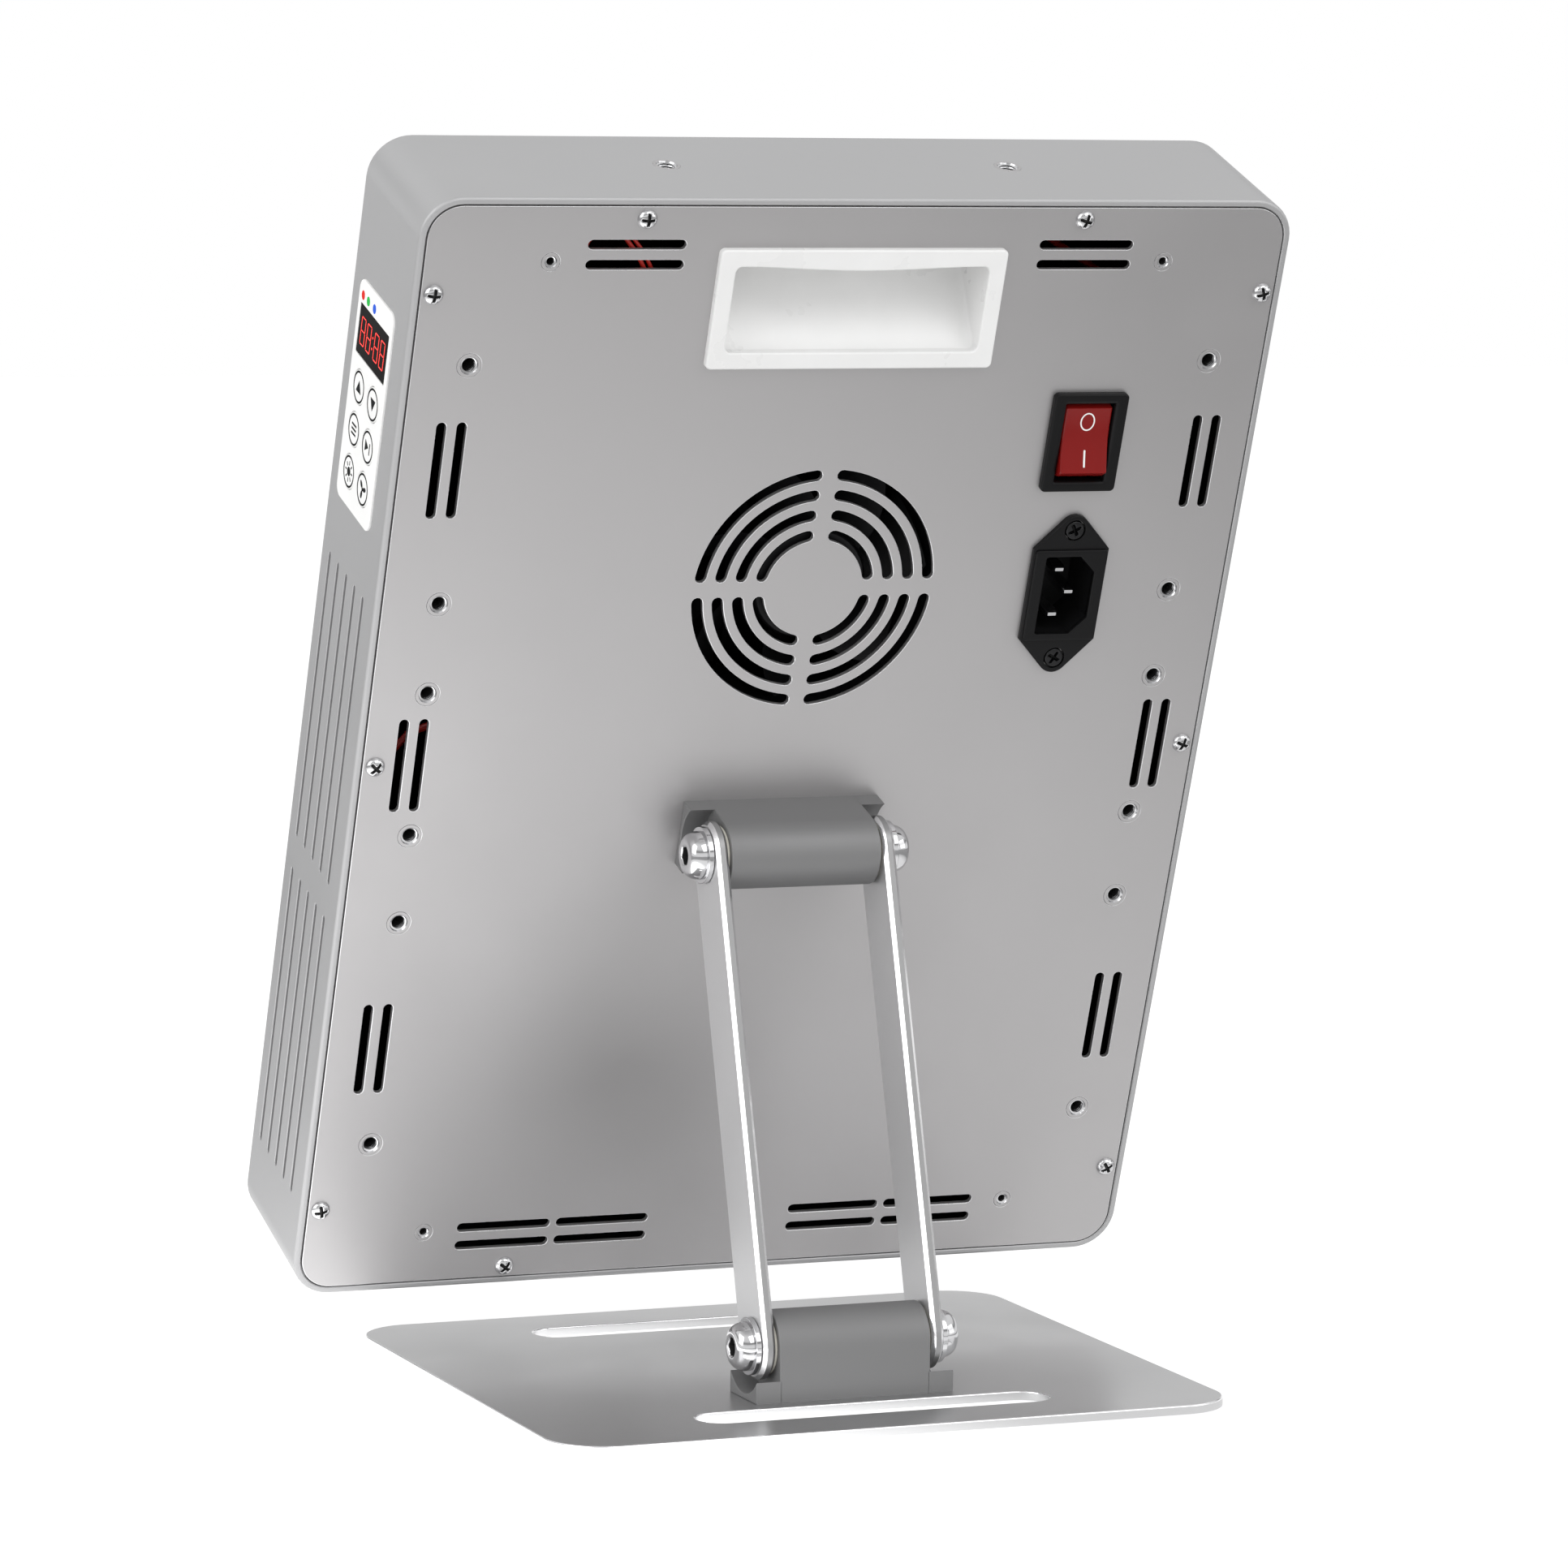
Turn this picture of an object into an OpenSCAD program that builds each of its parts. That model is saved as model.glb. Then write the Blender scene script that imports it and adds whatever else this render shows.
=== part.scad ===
// Tabletop LED light panel on a folding two-bar stand.
// Row frame: +Z up, +Y towards the rear cover, the LED side faces -Y, origin at the centre of the
// underside of the base. The head is drawn in its own frame and placed by head_place().
// Head frame: X across, Y out of the rear cover (0 on its outer face), Z up along the panel.

/* [Case] */
// Width of the case
case_w = 260.5; // [240:1:320]
// Height of the case along the panel
case_h = 339; // [330:1:420]
// Depth of the case from the front lip to the rear rim
case_d = 49; // [46:0.5:60]
// Radius of the four case corners
case_r = 12; // [11:0.5:20]
// Thickness of the case walls
case_wall = 2; // [1.2:0.1:2.5]
// Radius of the rear edge of the wall
rim_r = 1; // [0.4:0.1:1.1]
// Radius of the front edge of the wall
front_edge_r = 1.4; // [0.5:0.1:1.4]
// Width of the front lip that holds the front plate
lip_w = 4; // [2:0.5:6]
// Thickness of the front lip
lip_t = 1.5; // [1:0.1:3]
// Width of the inner flange that carries the rear cover
flange_w = 8; // [6:0.5:8.5]
// Thickness of the inner flange
flange_t = 2; // [1:0.1:3]

/* [Side vents] */
// Number of vent slots side by side
vent_count = 5; // [3:1:5]
// Distance between neighbouring vent slots
vent_pitch = 7.75; // [5:0.25:8.5]
// Width of one vent slot
vent_slot_w = 1.9; // [1:0.1:3]
// Length of one vent slot
vent_len = 89; // [50:1:92]
// Height of the middle of the upper group
vent_upper_v = 3; // [0:1:8]
// Height of the middle of the lower group
vent_lower_v = -96; // [-102:1:-92]

/* [Rear cover] */
// Thickness of the rear cover
cover_t = 1.5; // [1:0.1:2]
// Gap between the cover and the rim around it
cover_gap = 0.4; // [0.2:0.1:0.8]
// Distance of the upper and lower side screws from the ends of the case
side_screw_end = 28; // [24:0.5:38]
// Distance of the top and bottom screws from the sides of the case
end_screw_side = 64.85; // [56:0.05:69]
// Width of the cooling slots
slot_w = 2.8; // [2:0.1:4]
// Length of the cooling slots
slot_len = 28.6; // [20:0.5:29.5]
// Distance between the two slots of a pair
slot_pitch = 5.9; // [4.5:0.1:7]
// Middle of the side slot pairs, from the side of the case
side_slot_side = 16.05; // [15.8:0.05:18]
// Height of the upper and lower side slot pairs
side_slot_v = 89.6; // [85:0.1:92]
// Middle of the outer slot pairs at the top and bottom, from the side of the case
end_slot_side = 63.05; // [60.5:0.05:64.5]
// Distance of the slot pairs at the top and bottom from the ends of the case
end_slot_end = 16.5; // [15.5:0.5:19]
// Distance between the inner and the outer slot pair at the bottom
bottom_slot_pitch = 30.6; // [30.2:0.1:33]

/* [Fan] */
// Side length of the fan frame
fan_size = 80; // [76:1:82]
// Depth of the fan frame
fan_depth = 25; // [15:1:25]
// Distance between the mounting holes of the fan
fan_hole_pitch = 71.5; // [68:0.5:72]
// Height of the fan axis above the middle of the cover
fan_v = 52; // [48:1:56]
// Wall left around the fan bore
fan_wall = 2; // [1.5:0.1:3]
// Gap between the blade tips and the fan bore
fan_tip_gap = 1.2; // [0.8:0.1:2]
// Radius of the fan hub
fan_hub_r = 17; // [14:0.5:19]
// Number of fan blades
fan_blades = 7; // [5:1:11]
// Twist of one blade along the fan axis, in degrees
fan_twist = 34; // [20:1:40]
// Radius of the fan shaft
fan_shaft_r = 1.5; // [1:0.1:2]
// Outer radius of the outermost grille slot
grille_r = 36.5; // [33:0.5:37]
// Width of the arc slots of the grille
grille_slot_w = 3.3; // [2:0.1:4]
// Distance between neighbouring grille rings
grille_pitch = 6.1; // [5:0.1:7]
// Number of grille rings
grille_rings = 4; // [3:1:5]
// Width of the webs that cross the grille
grille_web = 4.6; // [3:0.1:7]

/* [Threaded inserts] */
// Distance of the rear inserts from the sides of the case
insert_side = 18.85; // [18.2:0.05:20.2]
// Height of the outer rear inserts
insert_outer_v = 120.7; // [118:0.5:123]
// Height of the middle rear inserts
insert_middle_v = 49.4; // [46:0.2:54]
// Height of the inner rear inserts
insert_inner_v = 22; // [20:0.5:26]
// Bore radius of the rear inserts, M5
insert_bore_r = 2.1; // [1.6:0.1:2.5]
// Distance of the small inserts from the sides of the case
small_insert_side = 38.55; // [36:0.05:42]
// Distance of the small inserts from the ends of the case
small_insert_end = 18.6; // [16.5:0.1:21.5]
// Bore radius of the small inserts, M3
small_bore_r = 1.25; // [1:0.05:1.6]
// Distance of the hanger inserts in the top wall from the middle
hanger_x = 51.4; // [40:0.5:70]
// Depth of the hanger inserts below the rear face
hanger_depth = 25.9; // [22:0.5:28]
// Bore radius of the hanger inserts, M6
hanger_bore_r = 2.5; // [2:0.1:2.6]
// Wall of an insert around its bore
insert_wall = 1.4; // [1:0.1:2]
// Length of an insert
insert_len = 9; // [6:0.5:11]

/* [Handle] */
// Width of the handle frame
handle_w = 86; // [70:1:88]
// Height of the handle frame
handle_h = 35.4; // [32:0.2:36]
// Distance of the middle of the handle from the top of the case
handle_top = 32.1; // [31.5:0.1:32.5]
// Width of the handle's border
handle_border = 5; // [4:0.2:6]
// Height of the border over the cover
handle_rise = 2; // [1:0.1:3]
// Depth of the finger recess under its upper edge
handle_depth = 20; // [14:1:24]
// Wall of the recess
handle_wall = 1.6; // [1:0.1:2.5]

/* [Rocker switch] */
// Distance of the middle of the switch from the side of the case
switch_side = 54.05; // [51:0.05:56]
// Height of the switch
switch_v = 96.4; // [96:0.2:98]
// Width of the switch bezel
switch_w = 23; // [21:0.5:24]
// Height of the switch bezel
switch_h = 30; // [29:0.5:31]
// Thickness of the switch bezel
switch_bezel_t = 2; // [1.5:0.1:3]
// Depth of the switch body behind the cover
switch_depth = 18; // [16:1:24]
// Width of the rocker
rocker_w = 14.6; // [12:0.2:15.5]
// Radius of the rocker's ends about its pin
rocker_r = 11.6; // [10:0.1:11.8]
// Angle of the rocker at rest from its middle place
rocker_angle = 9; // [5:1:10]
// Radius of the rocker's pin
rocker_pin_r = 1.5; // [1:0.1:2]

/* [Power inlet] */
// Distance of the middle of the inlet from the side of the case
inlet_side_x = 52.45; // [51:0.05:54]
// Height of the inlet
inlet_v = 49.2; // [48:0.2:52]
// Distance between the screws of the inlet
inlet_screw_pitch = 40; // [39:0.5:41]
// Width of the inlet's flange
inlet_w = 23.4; // [22:0.2:25]
// Length of the straight sides of the flange
inlet_side = 28.4; // [26:0.2:29]
// Thickness of the inlet's flange
inlet_flange_t = 2.5; // [2:0.1:3.5]
// Width of the socket
socket_w = 15.6; // [15:0.1:16.5]
// Height of the socket
socket_h = 24.2; // [23:0.1:24.5]
// Depth of the socket from the flange's face
socket_depth = 16; // [14:0.5:18]
// Wall of the inlet body around the socket
inlet_wall = 1.6; // [1:0.1:2]

/* [Key panel] */
// Height of the overlay's middle
overlay_v = 98.6; // [96:0.2:104]
// Depth of the overlay's middle below the rear face
overlay_depth = 25.5; // [24:0.5:28]
// Length of the overlay
overlay_h = 64.8; // [62:0.2:70]
// Width of the overlay
overlay_w = 30.4; // [29:0.2:33]
// Thickness of the overlay
overlay_t = 0.6; // [0.4:0.05:1]
// Diameter of a key
key_d = 9.8; // [8:0.1:10.4]
// Distance between the key rows
key_pitch_v = 12.65; // [11:0.05:13]
// Distance between the two key columns
key_pitch_w = 12.7; // [11.5:0.1:14]
// Distance of the middle key row below the overlay's middle
key_mid_drop = 9.9; // [9:0.1:11]
// Travel of a key
key_travel = 0.4; // [0.2:0.05:0.5]
// Length of the display window
display_w = 26; // [22:0.5:27]
// Height of the display window
display_h = 14.5; // [12:0.5:15]
// Height of the display's middle over the overlay's middle
display_lift = 18.3; // [17.6:0.1:19]

/* [LED side] */
// Columns of lenses
lens_cols = 6; // [4:1:7]
// Rows of lenses
lens_rows = 9; // [6:1:9]
// Distance between lens columns
lens_pitch_x = 39; // [30:0.5:40]
// Distance between lens rows
lens_pitch_v = 34.5; // [28:0.5:35]
// Diameter of a lens
lens_d = 22; // [16:0.5:24]
// Thickness of the front plate
front_plate_t = 2; // [1:0.1:3]
// Thickness of the LED board
led_board_t = 1.6; // [1:0.1:2.4]
// Height of a lens from the board to the plate's front face
lens_h = 5; // [4:0.1:6]
// Thickness of the heat sink's plate
sink_t = 3; // [2:0.1:4]
// Height of the heat sink's fins
fin_h = 7; // [4:0.5:7.5]
// Number of fins
fin_count = 21; // [11:2:25]
// Thickness of a fin
fin_t = 1.6; // [1:0.1:2.5]

/* [Stand] */
// Width of the base plate
base_w = 203; // [160:1:240]
// Length of the base plate from front to rear
base_l = 185; // [150:1:220]
// Thickness of the base plate
base_t = 3; // [2:0.1:5]
// Corner radius of the base plate
base_r = 17; // [8:1:30]
// Length of the two base slots
base_slot_len = 106; // [80:1:130]
// Width of the two base slots
base_slot_w = 15; // [8:1:18]
// Distance of the base slots from the middle
base_slot_y = 66; // [64:1:72]
// Distance of the lower bracket behind the middle of the base
bracket_y = 42.5; // [30:0.5:46]
// Height of a pivot over the face its bracket stands on
pivot_h = 14.7; // [13.9:0.1:18]
// Radius of a bracket's round back
bracket_r = 10; // [9.5:0.1:11]
// Length of a bracket's barrel between the arms
barrel_len = 45.7; // [30:0.1:60]
// Length of a bracket's foot
foot_len = 60; // [58:0.5:66]
// Radius of the pockets in which the ends of the arms turn
pocket_r = 13.2; // [12.5:0.1:13.4]
// Height of the upper bracket's middle on the cover
upper_bracket_v = -23.8; // [-26:0.2:-12]
// Distance between the two pivots of an arm
arm_len = 140; // [135:1:170]
// Width of an arm
arm_w = 19.2; // [14:0.1:20]
// Thickness of an arm
arm_t = 3.6; // [3:0.1:5]
// Chamfer on the long edges of an arm
arm_chamfer = 1; // [0.3:0.1:1.2]
// Forward lean of the arms from upright at rest, in degrees
arm_lean = 16.6; // [5:0.1:20]
// Backward tilt of the head from upright at rest, in degrees
panel_tilt = 19.8; // [5:0.1:25]
// Radius of a pivot bolt's shank
bolt_r = 4; // [3:0.1:4.5]
// Radius of a pivot bolt's head
bolt_head_r = 7; // [6:0.1:8]
// Height of a pivot bolt's head
bolt_head_h = 4.6; // [3:0.1:5]
// Thickness of a friction washer between bracket and arm
friction_washer_t = 0.8; // [0.5:0.05:1.2]
// Thickness of a washer under a bolt head
washer_t = 1.6; // [0.8:0.1:1.8]
// Radius of the washers
washer_r = 8.2; // [7:0.1:9]

/* [Hidden] */
$fn = 64;

// Small clearances
eps = 0.1;
thread_gap = 0.04;
turn_gap = 0.06;
face_gap = 0.15;
slide_gap = 0.3;
grille_end_extra = 0.06;

// Case
inner_w = case_w - 2 * case_wall;
inner_h = case_h - 2 * case_wall;
inner_r = case_r - case_wall;
flange_depth = cover_t;
cover_w = inner_w - 2 * cover_gap;
cover_h = inner_h - 2 * cover_gap;
cover_r = inner_r - cover_gap;
screw_x = inner_w / 2 - flange_w / 2;
screw_v = inner_h / 2 - flange_w / 2;
side_screw_v = case_h / 2 - side_screw_end;
end_screw_x = case_w / 2 - end_screw_side;
cover_screw_r = 1.5;
cover_screw_head_r = 2.9;
cover_screw_head_h = 1.9;
cover_screw_len = 7;
vent_mid_depth = case_d / 2 + 1.3;
side_slot_x = case_w / 2 - side_slot_side;
end_slot_x = case_w / 2 - end_slot_side;
end_slot_v = case_h / 2 - end_slot_end;
inner_slot_x = end_slot_x - bottom_slot_pitch;
insert_x = case_w / 2 - insert_side;
small_insert_x = case_w / 2 - small_insert_side;
small_insert_v = case_h / 2 - small_insert_end;
handle_v = case_h / 2 - handle_top;
switch_x = case_w / 2 - switch_side;
inlet_x = case_w / 2 - inlet_side_x;
key_mid_v = overlay_v - key_mid_drop;
display_v = overlay_v + display_lift;

// LED side, measured as depth below the rear face
lip_depth = case_d - lip_t;
plate_depth = lip_depth - front_plate_t;
board_front_depth = lip_depth - lens_h;
board_depth = board_front_depth - led_board_t;
sink_depth = board_depth - sink_t;
fin_depth = sink_depth - fin_h;
board_w = inner_w - 16;
board_h = inner_h - 16;
chip_r = 3.4;
chip_h = 1.1;
lens_hole_gap = 0.3;
lens_cup_r = 5;
lens_cup_h = 2.2;
sink_screw_r = 1.5;
sink_screw_bite = 0.8;
spacer_r = 3;
spacer_rows = 4;

// Inner pieces on the fins
fin_span = board_w - 8;
fin_pitch = fin_span / (fin_count - 1);
control_fin = 5;
control_fins = 3;
control_x = (control_fin + control_fins / 2) * fin_pitch;
control_v = 45;
control_w = control_fins * fin_pitch + 14;
control_h = 76;
standoff_h = 5;
standoff_d = 5.5;
capacitor_h = 13;
capacitor_d = 9;
control_t = 1.6;
control_depth = fin_depth - standoff_h - control_t;
driver_w = 44;
driver_h = 118;
driver_d = 20;
driver_x = 62;
driver_v = -92;

// Stand
base_top = base_t;
lower_y = bracket_y;
lower_z = base_top + pivot_h;
upper_y = lower_y - arm_len * sin(arm_lean);
upper_z = lower_z + arm_len * cos(arm_lean);
barrel_half = barrel_len / 2;
arm_x = barrel_half + friction_washer_t + face_gap;
washer_x = arm_x + arm_t + face_gap;
head_x = washer_x + washer_t;
bolt_len = 12;
bracket_screw_x = 13;
bracket_screw_r = 2.5;
bracket_screw_depth = 8;
countersink_h = 2.5;
countersink_r = 5;
hex_key_r = 1.7;
backing_w = 64;
backing_h = 34;
backing_t = 3;

// Fan
fan_bore_r = fan_size / 2 - fan_wall;
fan_top_depth = cover_t;
fan_bottom_depth = fan_top_depth + fan_depth;
fan_plate_t = 3;
fan_flange_t = 4;
fan_corner_r = 5;
stud_r = 1.9;
stud_hole_gap = 0.25;

// Rocker switch, depths below the rear face
rocker_pin_depth = 4;
rocker_face_h = 5.4;
rocker_face_dip = 1.6;
rocker_side_gap = 0.35;
switch_body_w = switch_w - 2;
switch_body_h = switch_h - 2;

// Inlet
pin_long = 3.9;
pin_thick = 1.9;
pin_pitch = 7;
pin_offset = 2;
socket_chamfer = 5;
inlet_screw_head_r = 3;
inlet_screw_head_h = 1.6;
inlet_screw_len = 9;

// Key panel
wall_out_x = case_w / 2;
wall_in_x = inner_w / 2;
window_w = overlay_w - 3.4;
window_h = overlay_h - 5;
key_board_x = wall_in_x - 4.2;
key_board_t = 1.6;

// ---------- helpers ----------

// Rectangle with round corners, centred
module rounded_rect(w, h, r) {
  square([w - 2 * r, h], center = true);
  square([w, h - 2 * r], center = true);
  for (sx = [-1, 1], sy = [-1, 1])
    translate([sx * (w / 2 - r), sy * (h / 2 - r)])
      circle(r);
}

// Slot with round ends, long along x, centred
module slot_2d(len, w) {
  square([len - w, w], center = true);
  for (s = [-1, 1])
    translate([s * (len - w) / 2, 0])
      circle(w / 2, $fn = 32);
}

// Places the head frame in the row frame
module head_place() {
  translate([0, upper_y, upper_z])
    rotate([-panel_tilt, 0, 0])
      translate([0, -pivot_h, -upper_bracket_v])
        children();
}

// Drawing frame of the rear: x across, y up the panel, z the depth below the rear face
module rear() {
  head_place()
    rotate([90, 0, 0])
      children();
}

// Drawing frame of the side wall: x towards the rear, y up, z outwards along +X
module side() {
  head_place()
    rotate([90, 0, 90])
      children();
}

// Extrudes a rear outline from one depth to another
module layer(z0, z1) {
  translate([0, 0, z0])
    linear_extrude(z1 - z0)
      children();
}

// Straight stretches of a swept wall on the given sides: 0 = +x, 1 = +y, 2 = -x, 3 = -y.
// The section has x = distance inwards from the outer face and y = depth.
module wall_runs(w, h, r, sides) {
  for (i = sides) {
    half = i % 2 == 0 ? w / 2 : h / 2;
    run = (i % 2 == 0 ? h : w) - 2 * r;
    rotate([0, 0, 90 * i])
      translate([half, run / 2, 0])
        mirror([1, 0, 0])
          rotate([90, 0, 0])
            linear_extrude(run)
              children();
  }
}

// The same section swept round the four corners
module wall_corners(w, h, r) {
  for (i = [0:3]) {
    sx = i == 0 || i == 3 ? 1 : -1;
    sy = i < 2 ? 1 : -1;
    translate([sx * (w / 2 - r), sy * (h / 2 - r), 0])
      rotate([0, 0, 90 * i])
        rotate_extrude(angle = 90)
          translate([r, 0])
            mirror([1, 0])
              children();
  }
}

// Section of the case wall with lip, flange and round outer edges
module wall_section() {
  n = 6;
  polygon(concat(
    [for (i = [0:n]) [rim_r - rim_r * sin(90 * i / n), rim_r - rim_r * cos(90 * i / n)]],
    [for (i = [0:n]) [front_edge_r - front_edge_r * cos(90 * i / n),
      case_d - front_edge_r + front_edge_r * sin(90 * i / n)]],
    [[case_wall + lip_w, case_d], [case_wall + lip_w, lip_depth], [case_wall, lip_depth],
      [case_wall, flange_depth + flange_t], [case_wall + flange_w, flange_depth + flange_t],
      [case_wall + flange_w, flange_depth], [case_wall, flange_depth], [case_wall, 0]]));
}

// Places children at the ten cover screws
module at_cover_screws() {
  for (sx = [-1, 1], v = [-side_screw_v, 0, side_screw_v])
    translate([sx * screw_x, v, 0])
      children();
  for (sx = [-1, 1], sv = [-1, 1])
    translate([sx * end_screw_x, sv * screw_v, 0])
      children();
}

// Places children at the twelve rear inserts
module at_rear_inserts() {
  for (sx = [-1, 1], v = [insert_outer_v, insert_middle_v, insert_inner_v], sv = [-1, 1])
    translate([sx * insert_x, sv * v, 0])
      children();
}

// Places children at the four small inserts
module at_small_inserts() {
  for (sx = [-1, 1], sv = [-1, 1])
    translate([sx * small_insert_x, sv * small_insert_v, 0])
      children();
}

// Places children at the two hanger inserts, z pointing down from the top of the case
module at_hangers() {
  head_place()
    for (sx = [-1, 1])
      translate([sx * hanger_x, -hanger_depth, case_h / 2])
        mirror([0, 0, 1])
          children();
}

// Places children at the fan's four mounting holes
module at_fan_holes() {
  for (sx = [-1, 1], sv = [-1, 1])
    translate([sx * fan_hole_pitch / 2, fan_v + sv * fan_hole_pitch / 2, 0])
      children();
}

// A cooling slot pair, long along x
module slot_pair() {
  for (s = [-1, 1])
    translate([0, s * slot_pitch / 2])
      slot_2d(slot_len, slot_w);
}

// All cooling slots of the cover
module cooling_slots() {
  for (sx = [-1, 1]) {
    for (v = [-side_slot_v, 0, side_slot_v])
      translate([sx * side_slot_x, v])
        rotate(90)
          slot_pair();
    for (sv = [-1, 1])
      translate([sx * end_slot_x, sv * end_slot_v])
        slot_pair();
    translate([sx * inner_slot_x, -end_slot_v])
      slot_pair();
  }
}

// Arc slots with round ends: concentric rings, each crossed by four webs
module grille() {
  for (ring = [0:grille_rings - 1]) {
    r_mid = grille_r - grille_slot_w / 2 - ring * grille_pitch;
    end_a = asin((grille_web + grille_slot_w) / 2 / r_mid);
    for (q = [0:3])
      rotate(90 * q) {
        intersection() {
          difference() {
            circle(r_mid + grille_slot_w / 2, $fn = 96);
            circle(r_mid - grille_slot_w / 2, $fn = 96);
          }
          polygon([[0, 0], 2 * r_mid * [cos(end_a), sin(end_a)], 3 * r_mid * [1, 1],
            2 * r_mid * [sin(end_a), cos(end_a)]]);
        }
        for (a = [end_a, 90 - end_a])
          rotate(a)
            translate([r_mid, 0])
              circle(grille_slot_w / 2 + grille_end_extra, $fn = 24);
      }
  }
}

// Threaded insert: flush head, body and bore, z running inwards
module insert_body(bore_r, len) {
  difference() {
    cylinder(h = len, r = bore_r + insert_wall);
    translate([0, 0, -eps])
      cylinder(h = len + 2 * eps, r = bore_r);
    translate([0, 0, -eps])
      cylinder(h = 0.6 + eps, r1 = bore_r + 0.6 + eps, r2 = bore_r);
  }
}

// Pan head screw with a cross recess, head outwards of z = 0, shank inwards
module pan_screw(r, head_r, head_h, len) {
  difference() {
    union() {
      cylinder(h = len, r = r, $fn = 24);
      rotate([180, 0, 0])
        rotate_extrude($fn = 32)
          polygon(concat([[0, 0], [head_r, 0]],
            [for (a = [15:15:90]) [head_r * cos(a) * 0.35 + head_r * 0.65 * (a < 90 ? 1 : 0),
              head_h * sin(a)]],
            [[0, head_h]]));
    }
    for (a = [0, 90])
      rotate([0, 0, a + 20])
        translate([-head_r * 0.6, -head_r * 0.12, -head_h - eps])
          cube([head_r * 1.2, head_r * 0.24, head_h * 0.6 + eps]);
  }
}

// ---------- stand ----------

// A bracket standing on z = 0 with its pivot axis along x at z = pivot_h
module bracket_block() {
  difference() {
    rotate([90, 0, 90])
      translate([0, 0, -foot_len / 2])
        linear_extrude(foot_len) {
          translate([-bracket_r, 0])
            square([2 * bracket_r, pivot_h]);
          translate([0, pivot_h])
            circle(bracket_r);
        }
    for (s = [-1, 1])
      translate([s * (barrel_half + foot_len / 2), 0, pivot_h])
        rotate([0, 90, 0])
          cylinder(h = foot_len, r = pocket_r, center = true);
    for (s = [-1, 1])
      translate([s * (barrel_half - bolt_len / 2 + 0.5), 0, pivot_h])
        rotate([0, 90, 0])
          cylinder(h = bolt_len + 1 + eps, r = bolt_r + thread_gap, center = true);
    for (s = [-1, 1])
      translate([s * bracket_screw_x, 0, -eps])
        cylinder(h = bracket_screw_depth + 0.5 + eps, r = bracket_screw_r + thread_gap, $fn = 32);
  }
}

// Button head bolt with a hexagon recess; the head's seat is at x = head_x
module pivot_bolt() {
  translate([head_x, 0, 0])
    rotate([0, 90, 0])
      difference() {
        union() {
          rotate_extrude()
            polygon(concat([[0, 0]],
              [for (a = [0:10:80]) [bolt_head_r * cos(a * 0.72), bolt_head_h * sin(a * 1.125)]],
              [[0, bolt_head_h]]));
          translate([0, 0, barrel_half - bolt_len - head_x])
            cylinder(h = head_x - barrel_half + bolt_len, r = bolt_r);
        }
        translate([0, 0, bolt_head_h - 2.4])
          cylinder(h = 2.4 + eps, r = 2.9, $fn = 6);
      }
}

// Flat ring between two x places
module ring_x(x0, t, r) {
  translate([x0, 0, 0])
    rotate([0, 90, 0])
      difference() {
        cylinder(h = t, r = r);
        translate([0, 0, -eps])
          cylinder(h = t + 2 * eps, r = bolt_r + turn_gap);
      }
}

// One arm, inner face at x = 0, lower pivot at the origin, rising along z
module arm_bar() {
  half = arm_w / 2;
  c = arm_chamfer;
  difference() {
    union() {
      rotate([0, 0, 90])
        linear_extrude(arm_len)
          polygon([[-half + c, 0], [half - c, 0], [half, -c], [half, -arm_t + c],
            [half - c, -arm_t], [-half + c, -arm_t], [-half, -arm_t + c], [-half, -c]]);
      for (z = [0, arm_len])
        translate([0, 0, z])
          rotate([0, 90, 0])
            rotate_extrude()
              polygon([[0, 0], [half - c, 0], [half, c], [half, arm_t - c],
                [half - c, arm_t], [0, arm_t]]);
    }
    for (z = [0, arm_len])
      translate([-eps, 0, z])
        rotate([0, 90, 0])
          cylinder(h = arm_t + 2 * eps, r = bolt_r + turn_gap);
  }
}

module lower_place() {
  translate([0, lower_y, lower_z])
    children();
}

module upper_place() {
  translate([0, upper_y, upper_z])
    rotate([-panel_tilt, 0, 0])
      children();
}

module both_sides() {
  children();
  mirror([1, 0, 0])
    children();
}

module base_plate() {
  color("#b9babc")
    difference() {
      linear_extrude(base_t)
        difference() {
          rounded_rect(base_w, base_l, base_r);
          for (s = [-1, 1])
            translate([0, s * base_slot_y])
              slot_2d(base_slot_len, base_slot_w);
        }
      for (s = [-1, 1])
        translate([s * bracket_screw_x, bracket_y, -eps]) {
          cylinder(h = base_t + 2 * eps, r = bracket_screw_r + thread_gap, $fn = 32);
          cylinder(h = countersink_h + eps, r1 = countersink_r + eps, r2 = bracket_screw_r, $fn = 32);
        }
    }
}

module lower_bracket() {
  color("#a9aaac")
    translate([0, bracket_y, base_top])
      bracket_block();
}

module lower_bracket_screws() {
  color("#8d8e90")
    for (s = [-1, 1])
      translate([s * bracket_screw_x, bracket_y, 0])
        difference() {
          union() {
            cylinder(h = countersink_h, r1 = countersink_r - eps, r2 = bracket_screw_r - eps, $fn = 32);
            cylinder(h = base_t + bracket_screw_depth, r = bracket_screw_r, $fn = 32);
          }
          translate([0, 0, -eps])
            cylinder(h = countersink_h - 0.5 + eps, r = hex_key_r, $fn = 6);
        }
}

module lower_pivot_bolts() {
  color("#d9dadc")
    lower_place()
      both_sides()
        pivot_bolt();
}

module lower_washers() {
  color("#c9cacc")
    lower_place()
      both_sides()
        ring_x(washer_x, washer_t, washer_r);
}

module lower_friction_washers() {
  color("#e8e8e2")
    lower_place()
      both_sides()
        ring_x(barrel_half, friction_washer_t, washer_r);
}

module left_arm() {
  color("#c4c5c7")
    lower_place()
      rotate([arm_lean, 0, 0])
        translate([arm_x, 0, 0])
          arm_bar();
}

module right_arm() {
  color("#c4c5c7")
    lower_place()
      rotate([arm_lean, 0, 0])
        mirror([1, 0, 0])
          translate([arm_x, 0, 0])
            arm_bar();
}

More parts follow.
